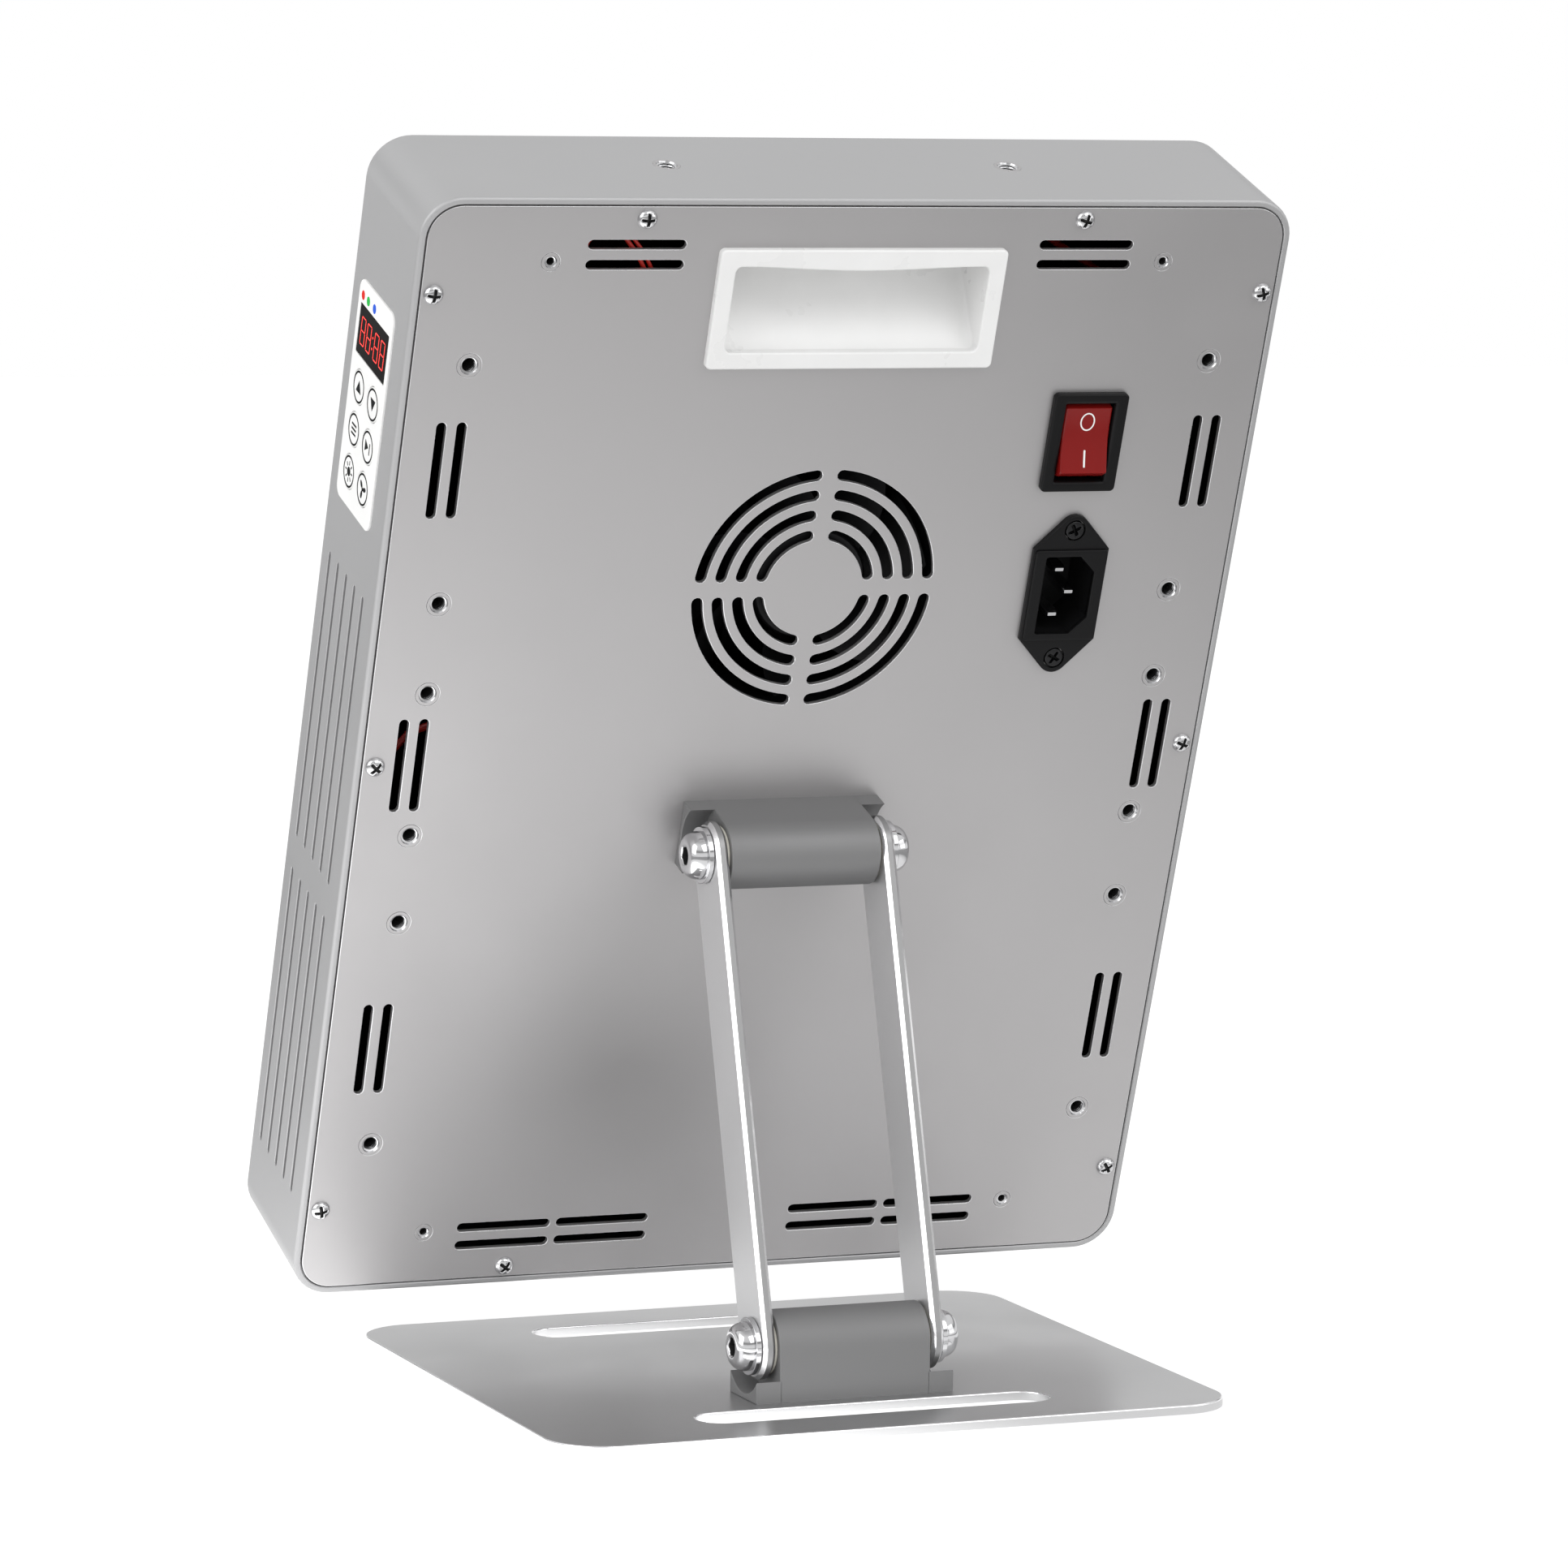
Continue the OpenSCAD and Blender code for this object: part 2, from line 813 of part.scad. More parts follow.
// ---------- head ----------

module upper_bracket() {
  color("#a9aaac")
    head_place()
      translate([0, 0, upper_bracket_v])
        rotate([-90, 0, 0])
          bracket_block();
}

module upper_bracket_screws() {
  color("#8d8e90")
    rear()
      for (s = [-1, 1])
        translate([s * bracket_screw_x, upper_bracket_v, -bracket_screw_depth])
          difference() {
            union() {
              cylinder(h = bracket_screw_depth + cover_t + backing_t, r = bracket_screw_r, $fn = 32);
              translate([0, 0, bracket_screw_depth + cover_t + backing_t])
                cylinder(h = 3, r = 4.5, $fn = 32);
            }
            translate([0, 0, bracket_screw_depth + cover_t + backing_t + 1])
              cylinder(h = 2 + eps, r = 2.2, $fn = 6);
          }
}

module backing_plate() {
  color("#9c9d9f")
    rear()
      translate([0, upper_bracket_v, 0])
        layer(cover_t, cover_t + backing_t)
          difference() {
            rounded_rect(backing_w, backing_h, 4);
            for (s = [-1, 1])
              translate([s * bracket_screw_x, 0])
                circle(bracket_screw_r + thread_gap, $fn = 32);
          }
}

module upper_pivot_bolts() {
  color("#d9dadc")
    upper_place()
      both_sides()
        pivot_bolt();
}

module upper_washers() {
  color("#c9cacc")
    upper_place()
      both_sides()
        ring_x(washer_x, washer_t, washer_r);
}

module upper_friction_washers() {
  color("#e8e8e2")
    upper_place()
      both_sides()
        ring_x(barrel_half, friction_washer_t, washer_r);
}

// Holes for the cover screws in the flange
module flange_holes() {
  rear()
    at_cover_screws()
      translate([0, 0, cover_t - eps])
        cylinder(h = flange_t + 2 * eps, r = cover_screw_r + thread_gap, $fn = 24);
}

module case_shell() {
  color("#b4b5b7")
    difference() {
      rear() {
        wall_runs(case_w, case_h, case_r, [0, 2, 3])
          wall_section();
        wall_corners(case_w, case_h, case_r)
          wall_section();
      }
      flange_holes();
      side()
        for (i = [0:vent_count - 1], v = [vent_upper_v, vent_lower_v])
          translate([-vent_mid_depth + (i - (vent_count - 1) / 2) * vent_pitch, v, -case_w])
            linear_extrude(2 * case_w)
              rotate(90)
                slot_2d(vent_len, vent_slot_w);
      side()
        translate([-overlay_depth, overlay_v, wall_in_x - eps])
          linear_extrude(case_wall + 2 * eps)
            rounded_rect(window_w, window_h, 2);
    }
}

module case_top() {
  color("#b4b5b7")
    difference() {
      rear()
        wall_runs(case_w, case_h, case_r, [1])
          wall_section();
      flange_holes();
      at_hangers()
        translate([0, 0, -eps])
          cylinder(h = case_wall + 2 * eps, r = hanger_bore_r + insert_wall + thread_gap);
    }
}

module rear_cover() {
  color("#a8a9ab")
    rear()
      layer(0, cover_t)
        difference() {
          rounded_rect(cover_w, cover_h, cover_r);
          cooling_slots();
          translate([0, fan_v])
            grille();
          at_cover_screws()
            circle(cover_screw_r + thread_gap, $fn = 24);
          at_rear_inserts()
            circle(insert_bore_r + insert_wall + thread_gap, $fn = 32);
          at_small_inserts()
            circle(small_bore_r + insert_wall + thread_gap, $fn = 32);
          translate([0, handle_v])
            square([handle_w - 2 * handle_border + 2 * handle_wall + 0.6,
              handle_h - 2 * handle_border + 2 * handle_wall + 0.6], center = true);
          translate([-switch_x, switch_v])
            square([switch_body_w + 0.2, switch_body_h + 0.2], center = true);
          translate([-inlet_x, inlet_v]) {
            square([socket_w + 2 * inlet_wall + 0.2, socket_h + 2 * inlet_wall + 0.2], center = true);
            for (s = [-1, 1])
              translate([0, s * inlet_screw_pitch / 2])
                circle(cover_screw_r + thread_gap, $fn = 24);
          }
          for (s = [-1, 1])
            translate([s * bracket_screw_x, upper_bracket_v])
              circle(bracket_screw_r + thread_gap, $fn = 32);
        }
}

module cover_screws() {
  color("#dcdde0")
    rear()
      at_cover_screws()
        pan_screw(cover_screw_r, cover_screw_head_r, cover_screw_head_h, cover_screw_len);
}

// Section of the handle recess in y = up, z = depth: deepest under the upper edge
module handle_section(grow, open) {
  half = handle_h / 2 - handle_border;
  polygon([[-half - grow, -open], [half + grow, -open], [half + grow, handle_depth + grow],
    [half - 7, handle_depth + grow], [-half - grow, 1.2 + grow]]);
}

module handle_cup() {
  half_w = handle_w / 2 - handle_border;
  color("#f4f4f2")
    rear()
      translate([0, handle_v, 0])
        difference() {
          union() {
            layer(-handle_rise, 0)
              rounded_rect(handle_w, handle_h, 1.5);
            translate([-half_w - handle_wall, 0, 0])
              rotate([90, 0, 90])
                linear_extrude(2 * (half_w + handle_wall))
                  handle_section(handle_wall, 0);
          }
          translate([-half_w, 0, 0])
            rotate([90, 0, 90])
              linear_extrude(2 * half_w)
                handle_section(0, handle_rise + eps);
        }
}

module switch_body() {
  well_h = 2 * rocker_r + 2 * rocker_side_gap;
  well_w = rocker_w + 2 * rocker_side_gap;
  color("#1c1c1e")
    rear()
      translate([-switch_x, switch_v, 0])
        difference() {
          union() {
            layer(-switch_bezel_t, 0)
              rounded_rect(switch_w, switch_h, 1.2);
            layer(0, switch_depth)
              square([switch_body_w, switch_body_h], center = true);
            for (sx = [-1, 1], sv = [-1, 0, 1])
              translate([sx * 4.5 - 0.4, sv * 7 - 2.4, switch_depth])
                cube([0.8, 4.8, 7]);
          }
          translate([0, 0, -switch_bezel_t - eps])
            layer(0, switch_bezel_t + rocker_pin_depth + rocker_r + 0.6)
              square([well_w, well_h], center = true);
          translate([0, 0, rocker_pin_depth])
            rotate([0, 90, 0])
              cylinder(h = well_w + 2 * 1.6, r = rocker_pin_r + turn_gap, center = true, $fn = 32);
        }
}

// Rocker about its pin at the origin, z is depth, so its face is at negative z
module rocker_shape() {
  difference() {
    union() {
      intersection() {
        rotate([0, 90, 0])
          cylinder(h = rocker_w, r = rocker_r, center = true, $fn = 96);
        translate([-rocker_w / 2, 0, 0])
          rotate([90, 0, 90])
            linear_extrude(rocker_w)
              polygon([[-rocker_r, -rocker_face_h - rocker_face_dip], [0, -rocker_face_h],
                [rocker_r, -rocker_face_h - rocker_face_dip], [rocker_r, 1], [4, 6],
                [-4, 6], [-rocker_r, 1]]);
      }
      rotate([0, 90, 0])
        cylinder(h = rocker_w + 2 * rocker_side_gap + 2.4, r = rocker_pin_r, center = true, $fn = 32);
    }
  }
}

module switch_rocker() {
  color("#c22a25")
    rear()
      translate([-switch_x, switch_v, rocker_pin_depth])
        rotate([rocker_angle, 0, 0])
          rocker_shape();
}

// Outline of the inlet's flange: straight sides, pointed towards the screws with round tips
module inlet_outline() {
  tip_r = 4.6;
  tip_v = inlet_screw_pitch / 2;
  a = 40;
  intersection() {
    square([inlet_w, 2 * tip_v + 2 * tip_r], center = true);
    union() {
      polygon([[-inlet_w / 2, -inlet_side / 2], [inlet_w / 2, -inlet_side / 2],
        [inlet_w / 2, inlet_side / 2], [tip_r * cos(a), tip_v + tip_r * sin(a)],
        [-tip_r * cos(a), tip_v + tip_r * sin(a)], [-inlet_w / 2, inlet_side / 2]]);
      polygon([[inlet_w / 2, inlet_side / 2], [-inlet_w / 2, inlet_side / 2],
        [-inlet_w / 2, -inlet_side / 2], [-tip_r * cos(a), -tip_v - tip_r * sin(a)],
        [tip_r * cos(a), -tip_v - tip_r * sin(a)], [inlet_w / 2, -inlet_side / 2]]);
      for (s = [-1, 1])
        translate([0, s * tip_v])
          circle(tip_r, $fn = 48);
    }
  }
}

// Socket outline with two chamfered corners on the -x side
module socket_outline(grow) {
  w = socket_w / 2 + grow;
  h = socket_h / 2 + grow;
  c = socket_chamfer;
  polygon([[w, -h], [w, h], [-w + c, h], [-w, h - c], [-w, -h + c], [-w + c, -h]]);
}

module inlet_body() {
  color("#19191b")
    rear()
      translate([-inlet_x, inlet_v, 0])
        difference() {
          union() {
            layer(-inlet_flange_t, 0)
              inlet_outline();
            layer(0, socket_depth + 3)
              socket_outline(inlet_wall);
          }
          layer(-inlet_flange_t - eps, socket_depth - inlet_flange_t)
            socket_outline(0);
          for (s = [-1, 1])
            translate([0, s * inlet_screw_pitch / 2, -inlet_flange_t - eps]) {
              cylinder(h = inlet_flange_t + 2 * eps, r = cover_screw_r + thread_gap, $fn = 24);
              cylinder(h = inlet_screw_head_h + eps, r1 = inlet_screw_head_r + 2 * eps,
                r2 = cover_screw_r + thread_gap, $fn = 32);
            }
          for (i = [-1, 0, 1])
            translate([(i == 0 ? -1 : 1) * pin_offset, i * pin_pitch, socket_depth])
              cube([pin_long + 2 * thread_gap, pin_thick + 2 * thread_gap, 20], center = true);
        }
}

module inlet_pins() {
  color("#d6d2c4")
    rear()
      translate([-inlet_x, inlet_v, 0])
        for (i = [-1, 0, 1])
          translate([(i == 0 ? -1 : 1) * pin_offset - pin_long / 2, i * pin_pitch - pin_thick / 2,
            i == 0 ? 0 : 1])
            cube([pin_long, pin_thick, socket_depth + 10]);
}

module inlet_screws() {
  color("#2a2a2c")
    rear()
      for (s = [-1, 1])
        translate([-inlet_x, inlet_v + s * inlet_screw_pitch / 2, -inlet_flange_t])
          difference() {
            union() {
              cylinder(h = inlet_screw_head_h, r1 = inlet_screw_head_r, r2 = cover_screw_r - 0.05, $fn = 32);
              cylinder(h = inlet_screw_len, r = cover_screw_r, $fn = 24);
            }
            for (a = [0, 90])
              rotate([0, 0, a + 45])
                translate([-1.6, -0.35, -eps])
                  cube([3.2, 0.7, 1 + eps]);
          }
}

module fan_place() {
  rear()
    translate([0, fan_v, fan_top_depth])
      children();
}

module fan_frame() {
  color("#232427")
    fan_place()
      difference() {
        union() {
          for (z = [0, fan_depth - fan_flange_t])
            layer(z, z + fan_flange_t)
              rounded_rect(fan_size, fan_size, fan_corner_r);
          cylinder(h = fan_depth, r = fan_size / 2, $fn = 96);
        }
        difference() {
          translate([0, 0, -eps])
            cylinder(h = fan_depth + 2 * eps, r = fan_bore_r, $fn = 96);
          translate([0, 0, fan_depth - fan_plate_t])
            cylinder(h = fan_plate_t + 2 * eps, r = fan_hub_r + 1);
          for (a = [45:90:315])
            rotate([0, 0, a])
              translate([0, -1.6, fan_depth - fan_plate_t])
                cube([fan_size, 3.2, fan_plate_t + 2 * eps]);
        }
        translate([-fan_size, -fan_size, fan_depth])
          cube([2 * fan_size, 2 * fan_size, 1]);
        translate([0, 0, fan_depth - fan_plate_t - eps])
          cylinder(h = fan_plate_t + 2 * eps, r = fan_shaft_r + turn_gap, $fn = 32);
        for (sx = [-1, 1], sv = [-1, 1])
          translate([sx * fan_hole_pitch / 2, sv * fan_hole_pitch / 2, -eps])
            cylinder(h = fan_depth + 2 * eps, r = stud_r + stud_hole_gap, $fn = 32);
      }
}

module fan_rotor() {
  tip_r = fan_bore_r - fan_tip_gap;
  blade_h = fan_depth - fan_plate_t - 5;
  color("#2c2d31")
    fan_place() {
      translate([0, 0, 1.5])
        cylinder(h = fan_depth - fan_plate_t - 2.3, r = fan_hub_r);
      translate([0, 0, 2])
        cylinder(h = fan_depth - 2.5, r = fan_shaft_r, $fn = 32);
      for (i = [0:fan_blades - 1])
        rotate([0, 0, 360 * i / fan_blades])
          translate([0, 0, 3])
            linear_extrude(blade_h, twist = -fan_twist, slices = 5)
              polygon(concat(
                [for (r = [fan_hub_r - 1, (fan_hub_r + tip_r) / 2, tip_r])
                  r * [cos((r - fan_hub_r) * 0.7), sin((r - fan_hub_r) * 0.7)]],
                [for (r = [tip_r, (fan_hub_r + tip_r) / 2, fan_hub_r - 1])
                  r * [cos((r - fan_hub_r) * 0.7 + 100 / r), sin((r - fan_hub_r) * 0.7 + 100 / r)]]));
    }
}

module fan_studs() {
  color("#9a9b9d")
    rear()
      at_fan_holes()
        translate([0, 0, cover_t])
          cylinder(h = fan_depth + 4, r = stud_r, $fn = 24);
}

module fan_nuts() {
  color("#cfd0d2")
    rear()
      at_fan_holes()
        translate([0, 0, fan_bottom_depth])
          difference() {
            cylinder(h = 3, r = 3.6, $fn = 6);
            translate([0, 0, -eps])
              cylinder(h = 3 + 2 * eps, r = stud_r + thread_gap, $fn = 24);
          }
}

module rear_inserts() {
  color("#cdced0")
    rear()
      at_rear_inserts()
        insert_body(insert_bore_r, insert_len);
}

module small_inserts() {
  color("#cdced0")
    rear()
      at_small_inserts()
        insert_body(small_bore_r, insert_len * 0.75);
}

module hanger_inserts() {
  color("#cdced0")
    at_hangers()
      insert_body(hanger_bore_r, insert_len + 2);
}

// Places children at one key: column -1 (front) or 1 (rear), row from 1 (top) to -1
module at_key(col, row) {
  side()
    translate([-overlay_depth + col * key_pitch_w / 2, key_mid_v + row * key_pitch_v, wall_out_x])
      children();
}

module key_cap(col, row) {
  color("#f2f2f0")
    at_key(col, row) {
      cylinder(h = overlay_t, d = key_d, $fn = 48);
      translate([0, 0, -1.6])
        cylinder(h = 1.6, d = key_d - 3, $fn = 32);
    }
}

module key_up() { key_cap(-1, 1); }
module key_down() { key_cap(1, 1); }
module key_mode() { key_cap(-1, 0); }
module key_play() { key_cap(1, 0); }
module key_brightness() { key_cap(-1, -1); }
module key_fan() { key_cap(1, -1); }

module key_overlay() {
  color("#f4f4f2")
    difference() {
      side()
        translate([-overlay_depth, overlay_v, wall_out_x])
          linear_extrude(overlay_t)
            difference() {
              rounded_rect(overlay_w, overlay_h, 3.5);
              translate([0, display_v - overlay_v])
                square([display_w, display_h], center = true);
            }
      for (col = [-1, 1], row = [-1, 0, 1])
        at_key(col, row)
          translate([0, 0, -eps])
            cylinder(h = overlay_t + 2 * eps, d = key_d + 2 * slide_gap, $fn = 48);
    }
}

module key_board() {
  gap = 0.3;
  switch_top = wall_out_x - 1.6 - key_travel - gap;
  color("#1f6a3c") {
    side()
      translate([-overlay_depth, overlay_v, key_board_x - key_board_t])
        linear_extrude(key_board_t)
          square([overlay_w + 2, overlay_h + 4], center = true);
    for (col = [-1, 1], row = [-1, 0, 1])
      at_key(col, row) {
        translate([-3, -3, key_board_x - wall_out_x])
          cube([6, 6, 1.5]);
        translate([0, 0, key_board_x - wall_out_x])
          cylinder(h = switch_top - key_board_x, d = 3.2, $fn = 24);
      }
    for (sy = [-1, 1], sz = [-1, 1])
      side()
        translate([-overlay_depth + sy * (overlay_w / 2 - 0.6), overlay_v + sz * (overlay_h / 2 - 1),
          key_board_x])
          cylinder(h = wall_in_x - key_board_x, d = 2.4, $fn = 16);
  }
}

module display_module() {
  color("#140c0c")
    side()
      translate([-overlay_depth, display_v, key_board_x])
        linear_extrude(wall_out_x + overlay_t - 0.15 - key_board_x)
          square([display_w - 0.4, display_h - 0.4], center = true);
}

// Places children at the four posts of the control board, which stand on fins
module at_control_posts() {
  for (fin = [control_fin, control_fin + control_fins], sv = [-1, 1])
    translate([fin * fin_pitch, control_v + sv * (control_h / 2 - 4), 0])
      children();
}

module control_standoffs() {
  color("#c8a24a")
    rear()
      at_control_posts()
        translate([0, 0, fin_depth - standoff_h])
          cylinder(h = standoff_h, d = standoff_d, $fn = 24);
}

module control_board() {
  color("#1d5c38")
    rear() {
      layer(control_depth, control_depth + control_t)
        translate([control_x, control_v])
          square([control_w, control_h], center = true);
      for (p = [[-12, 22, 15, 19, 12], [10, 22, 15, 19, 12], [-14, -6, 10, 14, 9], [14, -8, 14, 14, 7]])
        translate([control_x + p[0] - p[2] / 2, control_v + p[1] - p[3] / 2, control_depth - p[4]])
          cube([p[2], p[3], p[4]]);
      for (p = [[-14, -26], [-3, -26], [8, -26]])
        translate([control_x + p[0], control_v + p[1], control_depth - capacitor_h])
          cylinder(h = capacitor_h, d = capacitor_d, $fn = 32);
    }
}

module led_drivers() {
  color("#8f9194")
    rear()
      for (s = [-1, 1])
        translate([s * driver_x, driver_v, 0]) {
          layer(fin_depth - driver_d, fin_depth)
            rounded_rect(driver_w, driver_h, 2);
          layer(fin_depth - 3, fin_depth)
            difference() {
              rounded_rect(driver_w - 14, driver_h + 16, 4);
              for (sv = [-1, 1])
                translate([0, sv * (driver_h / 2 + 4)])
                  circle(2.2, $fn = 24);
            }
        }
}

// Places children at each lens
module at_lenses() {
  for (i = [0:lens_cols - 1], j = [0:lens_rows - 1])
    translate([(i - (lens_cols - 1) / 2) * lens_pitch_x, (j - (lens_rows - 1) / 2) * lens_pitch_v, 0])
      children();
}

module front_plate() {
  color("#f0f0ee")
    rear()
      difference() {
        layer(plate_depth, lip_depth)
          rounded_rect(inner_w - 0.4, inner_h - 0.4, inner_r - 0.2);
        at_lenses()
          translate([0, 0, plate_depth - eps])
            cylinder(h = front_plate_t + 2 * eps, r = lens_d / 2 + lens_hole_gap);
        at_spacers()
          translate([0, 0, plate_depth - eps])
            cylinder(h = sink_screw_bite + eps, r = sink_screw_r + thread_gap, $fn = 24);
      }
}

module lens_array() {
  dome = 1.2;
  color("#e6eef4")
    rear()
      at_lenses()
        rotate_extrude($fn = 32)
          polygon(concat([[lens_cup_r, board_front_depth], [lens_d / 2, board_front_depth]],
            [for (a = [0:15:75]) [lens_d / 2 * cos(a), lip_depth + dome * sin(a) - dome * 0.2]],
            [[0, lip_depth + dome * 0.8], [0, board_front_depth + lens_cup_h],
              [lens_cup_r - 1, board_front_depth + lens_cup_h]]));
}

module led_chips() {
  color("#e8d36a")
    rear()
      at_lenses()
        translate([0, 0, board_front_depth])
          cylinder(h = chip_h, r = chip_r, $fn = 24);
}

// Places children at the heat sink screws, between the lens columns
module at_spacers() {
  for (sx = [-1, 1], j = [0:spacer_rows - 1])
    translate([sx * lens_pitch_x, (j - (spacer_rows - 1) / 2) * 2 * lens_pitch_v, 0])
      translate([sx * lens_pitch_x / 2 * (lens_cols % 2 == 0 ? 0 : 1), 0, 0])
        children();
}

module led_board() {
  color("#e9e9e6")
    rear()
      layer(board_depth, board_front_depth)
        difference() {
          rounded_rect(board_w, board_h, 4);
          at_spacers()
            circle(sink_screw_r + thread_gap, $fn = 24);
        }
}

module sink_spacers() {
  color("#b8b9bb")
    rear()
      at_spacers()
        translate([0, 0, board_front_depth])
          difference() {
            cylinder(h = plate_depth - board_front_depth, r = spacer_r, $fn = 32);
            translate([0, 0, -eps])
              cylinder(h = 10, r = sink_screw_r + thread_gap, $fn = 24);
          }
}

module sink_screws() {
  color("#d0d1d3")
    rear()
      at_spacers()
        translate([0, 0, sink_depth])
          pan_screw(sink_screw_r, 2.8, 1.8, plate_depth - sink_depth + sink_screw_bite - eps);
}

module heat_sink() {
  color("#a2a4a7")
    rear()
      difference() {
        union() {
          layer(sink_depth, board_depth)
            rounded_rect(board_w, board_h, 4);
          for (i = [0:fin_count - 1])
            translate([-fin_span / 2 + i * fin_pitch - fin_t / 2, -board_h / 2 + 4, fin_depth])
              cube([fin_t, board_h - 8, fin_h + eps]);
        }
        at_spacers() {
          translate([0, 0, fin_depth - eps])
            cylinder(h = fin_h + eps, r = 4.5, $fn = 32);
          translate([0, 0, sink_depth - eps])
            cylinder(h = sink_t + 2 * eps, r = sink_screw_r + thread_gap, $fn = 24);
        }
      }
}

// Direction of a wire at point i of its path
function wire_dir(p, i) =
  let (d = p[min(i + 1, len(p) - 1)] - p[max(i - 1, 0)])
  d / norm(d);

// One ring of points around a wire, square to its direction
function wire_ring(p, i, r, sides) =
  let (d = wire_dir(p, i), u = cross(d, [0.1, 0.2, 1]), a = u / norm(u), b = cross(d, a))
  [for (k = [0:sides - 1]) p[i] + r * (a * cos(360 * k / sides) + b * sin(360 * k / sides))];

// A wire swept along a list of points
module wire_path(points, r) {
  sides = 10;
  n = len(points);
  polyhedron(
    points = [for (i = [0:n - 1]) each wire_ring(points, i, r, sides)],
    faces = concat(
      [[for (k = [0:sides - 1]) sides - 1 - k]],
      [for (i = [0:n - 2], k = [0:sides - 1])
        [i * sides + k, i * sides + (k + 1) % sides, (i + 1) * sides + (k + 1) % sides,
          (i + 1) * sides + k]],
      [[for (k = [0:sides - 1]) (n - 1) * sides + k]]));
}

module wire_harness() {
  wire_r = 1.1;
  low = fin_depth - wire_r - thread_gap;
  wire_start = control_depth - wire_r - thread_gap;
  board_top = control_v + control_h / 2;
  board_low = control_v - control_h / 2;
  color("#b8201c")
    rear() {
      wire_path([[control_x, board_top - 6, wire_start], [control_x, board_top + 2, wire_start],
        [control_x, board_top + 21, low - 2], [control_x - 1, board_top + 29, low],
        [end_slot_x + 5, end_slot_v - 8, low], [end_slot_x - 3, end_slot_v, low],
        [0, end_slot_v + 1, low], [7 - end_slot_x, end_slot_v - 1, low],
        [2 - small_insert_x, small_insert_v - 16, low],
        [-small_insert_x - 6, small_insert_v - 35, low]], wire_r);
      wire_path([[control_x + 16, board_low + 8, wire_start], [control_x + 18, board_low - 3, wire_start],
        [side_slot_x - 10, board_low - 11, low], [side_slot_x - 2, board_low - 21, low],
        [side_slot_x - 1, board_low - 37, low], [side_slot_x - 7, board_low - 55, low],
        [driver_x + driver_w / 2 + 4, driver_v + driver_h / 3, low],
        [driver_x + driver_w / 2 + eps, driver_v + driver_h / 3, low]], wire_r);
    }
}

base_plate();
lower_bracket();
lower_bracket_screws();
lower_pivot_bolts();
lower_washers();
lower_friction_washers();
left_arm();
right_arm();
upper_bracket();
upper_bracket_screws();
backing_plate();
upper_pivot_bolts();
upper_washers();
upper_friction_washers();
case_shell();
case_top();
rear_cover();
cover_screws();
handle_cup();
switch_body();
switch_rocker();
inlet_body();
inlet_pins();
inlet_screws();
fan_frame();
fan_rotor();
fan_studs();
fan_nuts();
rear_inserts();
small_inserts();
hanger_inserts();
key_overlay();
key_up();
key_down();
key_mode();
key_play();
key_brightness();
key_fan();
key_board();
display_module();
control_board();
control_standoffs();
led_drivers();
front_plate();
lens_array();
led_board();
led_chips();
heat_sink();
sink_screws();
sink_spacers();
wire_harness();
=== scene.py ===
import math

import bmesh
import bpy
import numpy as np
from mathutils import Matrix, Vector
from mathutils.geometry import delaunay_2d_cdt


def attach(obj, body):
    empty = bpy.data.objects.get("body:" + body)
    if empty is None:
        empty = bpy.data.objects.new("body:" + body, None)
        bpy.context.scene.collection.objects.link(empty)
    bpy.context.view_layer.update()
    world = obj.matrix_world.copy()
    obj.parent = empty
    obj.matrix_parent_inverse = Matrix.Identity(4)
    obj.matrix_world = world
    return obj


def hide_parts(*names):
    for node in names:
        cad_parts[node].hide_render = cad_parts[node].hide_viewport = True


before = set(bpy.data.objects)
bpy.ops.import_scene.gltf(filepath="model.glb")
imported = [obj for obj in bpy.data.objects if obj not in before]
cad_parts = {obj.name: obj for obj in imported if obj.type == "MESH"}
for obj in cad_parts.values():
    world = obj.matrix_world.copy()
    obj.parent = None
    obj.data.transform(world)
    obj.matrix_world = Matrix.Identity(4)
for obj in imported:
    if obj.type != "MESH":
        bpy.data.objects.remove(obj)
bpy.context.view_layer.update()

bl_info = {
    "name": "Tabletop Light Panel",
    "version": (1, 0, 0),
    "blender": (4, 5, 0),
    "location": "View3D > Sidebar > Light Panel",
    "description": "Builds the outside of a tabletop LED light panel on a folding two-bar stand",
    "category": "Add Mesh",
}

# Every length is in metres. The part stands on z = 0 and its rear cover faces +Y.
MM = 0.001
TILT = math.radians(19.8)          # the head leans back by this
LEAN = math.radians(16.6)          # the arms lean forward by this
ARM_LENGTH = 140 * MM              # between the two pivots of an arm
PIVOT_HEIGHT = 14.7 * MM           # of a pivot over the face its bracket stands on
BRACKET_V = -23.8 * MM             # height of the upper bracket on the cover
LOWER_PIVOT = np.array([0, 42.5, 17.7]) * MM
UPPER_PIVOT = LOWER_PIVOT + ARM_LENGTH * np.array([0, -math.sin(LEAN), math.cos(LEAN)])
OUTWARD = np.array([0, math.cos(TILT), -math.sin(TILT)])
UPWARD = np.array([0, math.sin(TILT), math.cos(TILT)])
RIGHT = np.array([-1.0, 0, 0])     # to the right as one looks at the rear cover
COVER_MIDDLE = UPPER_PIVOT - PIVOT_HEIGHT * OUTWARD - BRACKET_V * UPWARD


# ---------------------------------------------------------------- sizes and colours

def length(name, mm, about):
    """A size in metres whose default is given in millimetres."""
    return bpy.props.FloatProperty(name=name, description=about, default=mm * MM, min=0.0,
                                   precision=4, unit="LENGTH", subtype="DISTANCE")


def tint(name, rgb, about):
    """A colour in linear red, green and blue."""
    return bpy.props.FloatVectorProperty(name=name, description=about, default=rgb, size=3,
                                         min=0.0, max=1.0, subtype="COLOR")


